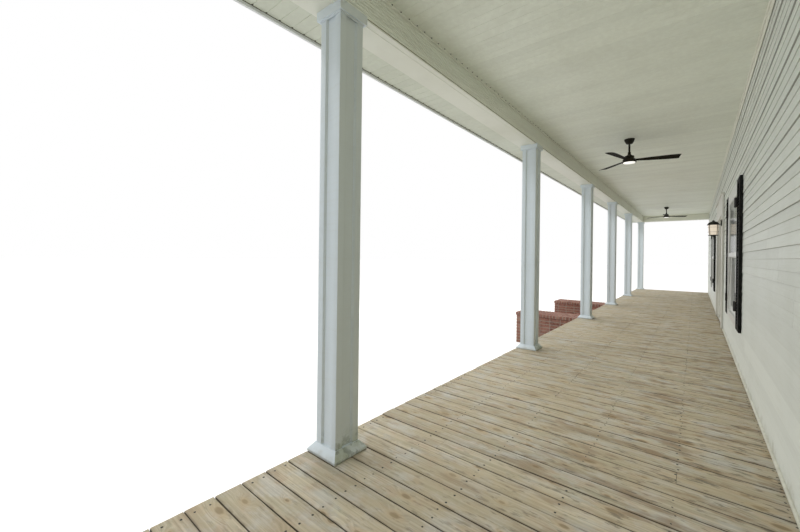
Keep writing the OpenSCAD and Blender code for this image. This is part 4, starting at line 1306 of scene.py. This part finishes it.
def add_hub(form, centre, outline, count):
    """A bored hub: the outline turned round the axis and closed on itself."""
    corners, faces, rows = [], [], len(outline)
    for radius, height in outline:
        corners.extend((centre[0] + radius * math.cos(a), centre[1] + radius * math.sin(a), height)
                       for a in angles(count))
    for r in range(rows):
        for i in range(count):
            a, b = r * count + i, r * count + (i + 1) % count
            c = ((r + 1) % rows) * count
            faces.append([a, b, c + (i + 1) % count, c + i])
    form.add(corners, faces, 1)


def build_fans():
    mounts, lamps, rims = (Form() for _ in range(3))
    top = CEILING_LOW.z
    motor_top = top - 0.206
    motor_foot = motor_top - 0.077
    hub_top, hub_foot = motor_foot - 0.0055, motor_foot - 0.0355
    boxes = sorted(islands("fan_lamps"), key=lambda box: box[0].y)
    for (low, high), side, first in zip(boxes, ("near", "far"), (15.0, 30.0)):
        x, y, lamp = (low.x + high.x) / 2, (low.y + high.y) / 2, (high.x - low.x) / 2
        centre = (x, y, 0.0)
        cup = drawn(0, top, (0.0005, 0), (0.065, 0), (0.065, -0.009), (0.0635, -0.015),
                    (0.0565, -0.033), (0.049, -0.050), (0.043, -0.061), (0.038, -0.0658),
                    (0.018, -0.067), (0.0130, -0.070))
        motor = drawn(0, motor_top, (0.0130, 0.020), (0.0185, 0.018), (0.0195, -0.008),
                      (0.024, -0.020), (0.038, -0.032), (0.054, -0.038), (0.0605, -0.043),
                      (0.0615, -0.049))
        stem = [(0.0615, motor_foot + 0.004), (0.060, motor_foot), (0.010, motor_foot),
                (0.010, high.z - 0.001), (0.0005, high.z - 0.001)]
        mounts.lathe(centre, cup + motor + stem, 56)
        for a in map(math.radians, (40, 160, 280)):
            mounts.stud((x + 0.062 * math.cos(a), y + 0.062 * math.sin(a), motor_foot + 0.014),
                        0.003, 0.007, 10)
        mounts.stud((x + 0.050, y + 0.018, top - 0.030), 0.0032, 0.006, 10)
        rims.lathe(centre, [(0.060, high.z)] + drawn(
            lamp, high.z, (-0.003, 0), (0, -0.003), (0, -0.012), (-0.003, -0.015),
            (-0.011, -0.015)) + [(0.0005, high.z - 0.0145)], 64)
        lamps.lathe(centre, drawn(0, high.z, (lamp - 0.013, -0.013), (lamp - 0.013, -0.017),
                                  (lamp * 0.80, -0.021), (lamp * 0.64, -0.0245),
                                  (lamp * 0.38, -0.027), (0.0005, -0.028)), 64)
        form = Form()
        add_blades(form, centre, first, (hub_top + hub_foot) / 2)
        add_hub(form, centre, drawn(0, hub_foot, (0.0104, 0), (0.068, 0), (0.078, 0.003),
                                    (0.082, 0.010))
                + drawn(0, hub_top, (0.082, -0.008), (0.078, -0.002), (0.070, 0), (0.0104, 0)), 56)
        make(f"{side}_fan_rotor", form, [BLADE, BRONZE], "blade", f"{side}_fan_blades",
             body=f"{side}_fan")
    make("fan_motors", mounts, [BRONZE], "dark_metal", "fan_mounts")
    make("fan_lamp_rims", rims, [BRONZE], "dark_metal", "fan_lamps")
    make("fan_lamp_bowls", lamps, [LAMP_GLASS], "lamp_glass")


# Studio

def build_studio():
    scene = bpy.context.scene
    scene.view_settings.view_transform = "Standard"
    world = bpy.data.worlds.new("Soft studio")
    scene.world = world
    world.use_nodes = True
    world.node_tree.nodes.clear()
    w = Wires(world.node_tree)
    rays = w.node("ShaderNodeLightPath").outputs
    seen = w.calc("MAXIMUM", rays["Is Camera Ray"],
                  w.calc("MAXIMUM", rays["Is Glossy Ray"], rays["Is Transmission Ray"]))
    backdrop = w.node("ShaderNodeBackground", {"Color": (1.0, 1.0, 1.0, 1.0),
                                               "Strength": w.between(seen, 0.0, 1.0, 0.76, 1.0)})
    w.node("ShaderNodeOutputWorld", {"Surface": backdrop.outputs[0]})

    floor = Finish("Studio floor", 0.9, Emission_Color=(0.9, 0.9, 0.89, 1.0))
    w = floor.wires
    floor.set("Base Color", w.mix(w.noise(floor.place, 0.4, 3.0), (0.80, 0.80, 0.79),
                                  (0.84, 0.84, 0.83)))
    seen = w.node("ShaderNodeLightPath").outputs["Is Camera Ray"]
    floor.set("Emission Strength", w.times(seen, 0.42))
    form, reach = Form(), 150.0
    form.block((-reach, -reach, -0.05), (reach, reach, 0.0))
    mesh = bpy.data.meshes.new("studio_floor")
    mesh.from_pydata(form.corners, [], form.faces)
    mesh.materials.append(floor.material)
    placed("studio_floor", mesh)

    light = bpy.data.lights.new("yard_light", "AREA")
    light.shape, light.size, light.size_y = "RECTANGLE", 26.0, 3.0
    light.energy, light.color = 1150.0, (1.0, 1.0, 0.98)
    lamp = placed("yard_light", light)
    lamp.location = (-8.0, 0.0, 10.5)
    aim = Vector((-0.5, 0.0, 1.0)) - lamp.location
    lamp.rotation_euler = aim.to_track_quat("-Z", "Y").to_euler()

    # the camera that was solved from the straight lines of the porch
    lens = bpy.data.cameras.new("photo_view")
    lens.lens, lens.sensor_width, lens.clip_end = 16.0465, 36.0, 500.0
    lens.shift_y = -0.01192
    camera = placed("photo_view", lens)
    camera.location = (WALL_FACE - 0.3872, COLUMN_Y[1] - 1.4931, DECK_TOP + 1.225)
    turn = Euler((math.radians(90 - 0.0209), 0.0, math.radians(39.6357))).to_matrix()
    camera.rotation_euler = (turn @ Matrix.Rotation(math.radians(0.7053), 3, "Z")).to_euler()
    scene.camera = camera


for build in (build_deck, build_framing, build_masonry, build_walls, build_gables, build_columns,
              build_beam, build_ceiling, build_roof, build_windows, build_shutters, build_door,
              build_lantern, build_fans, build_studio):
    build()

bpy.context.view_layer.update()
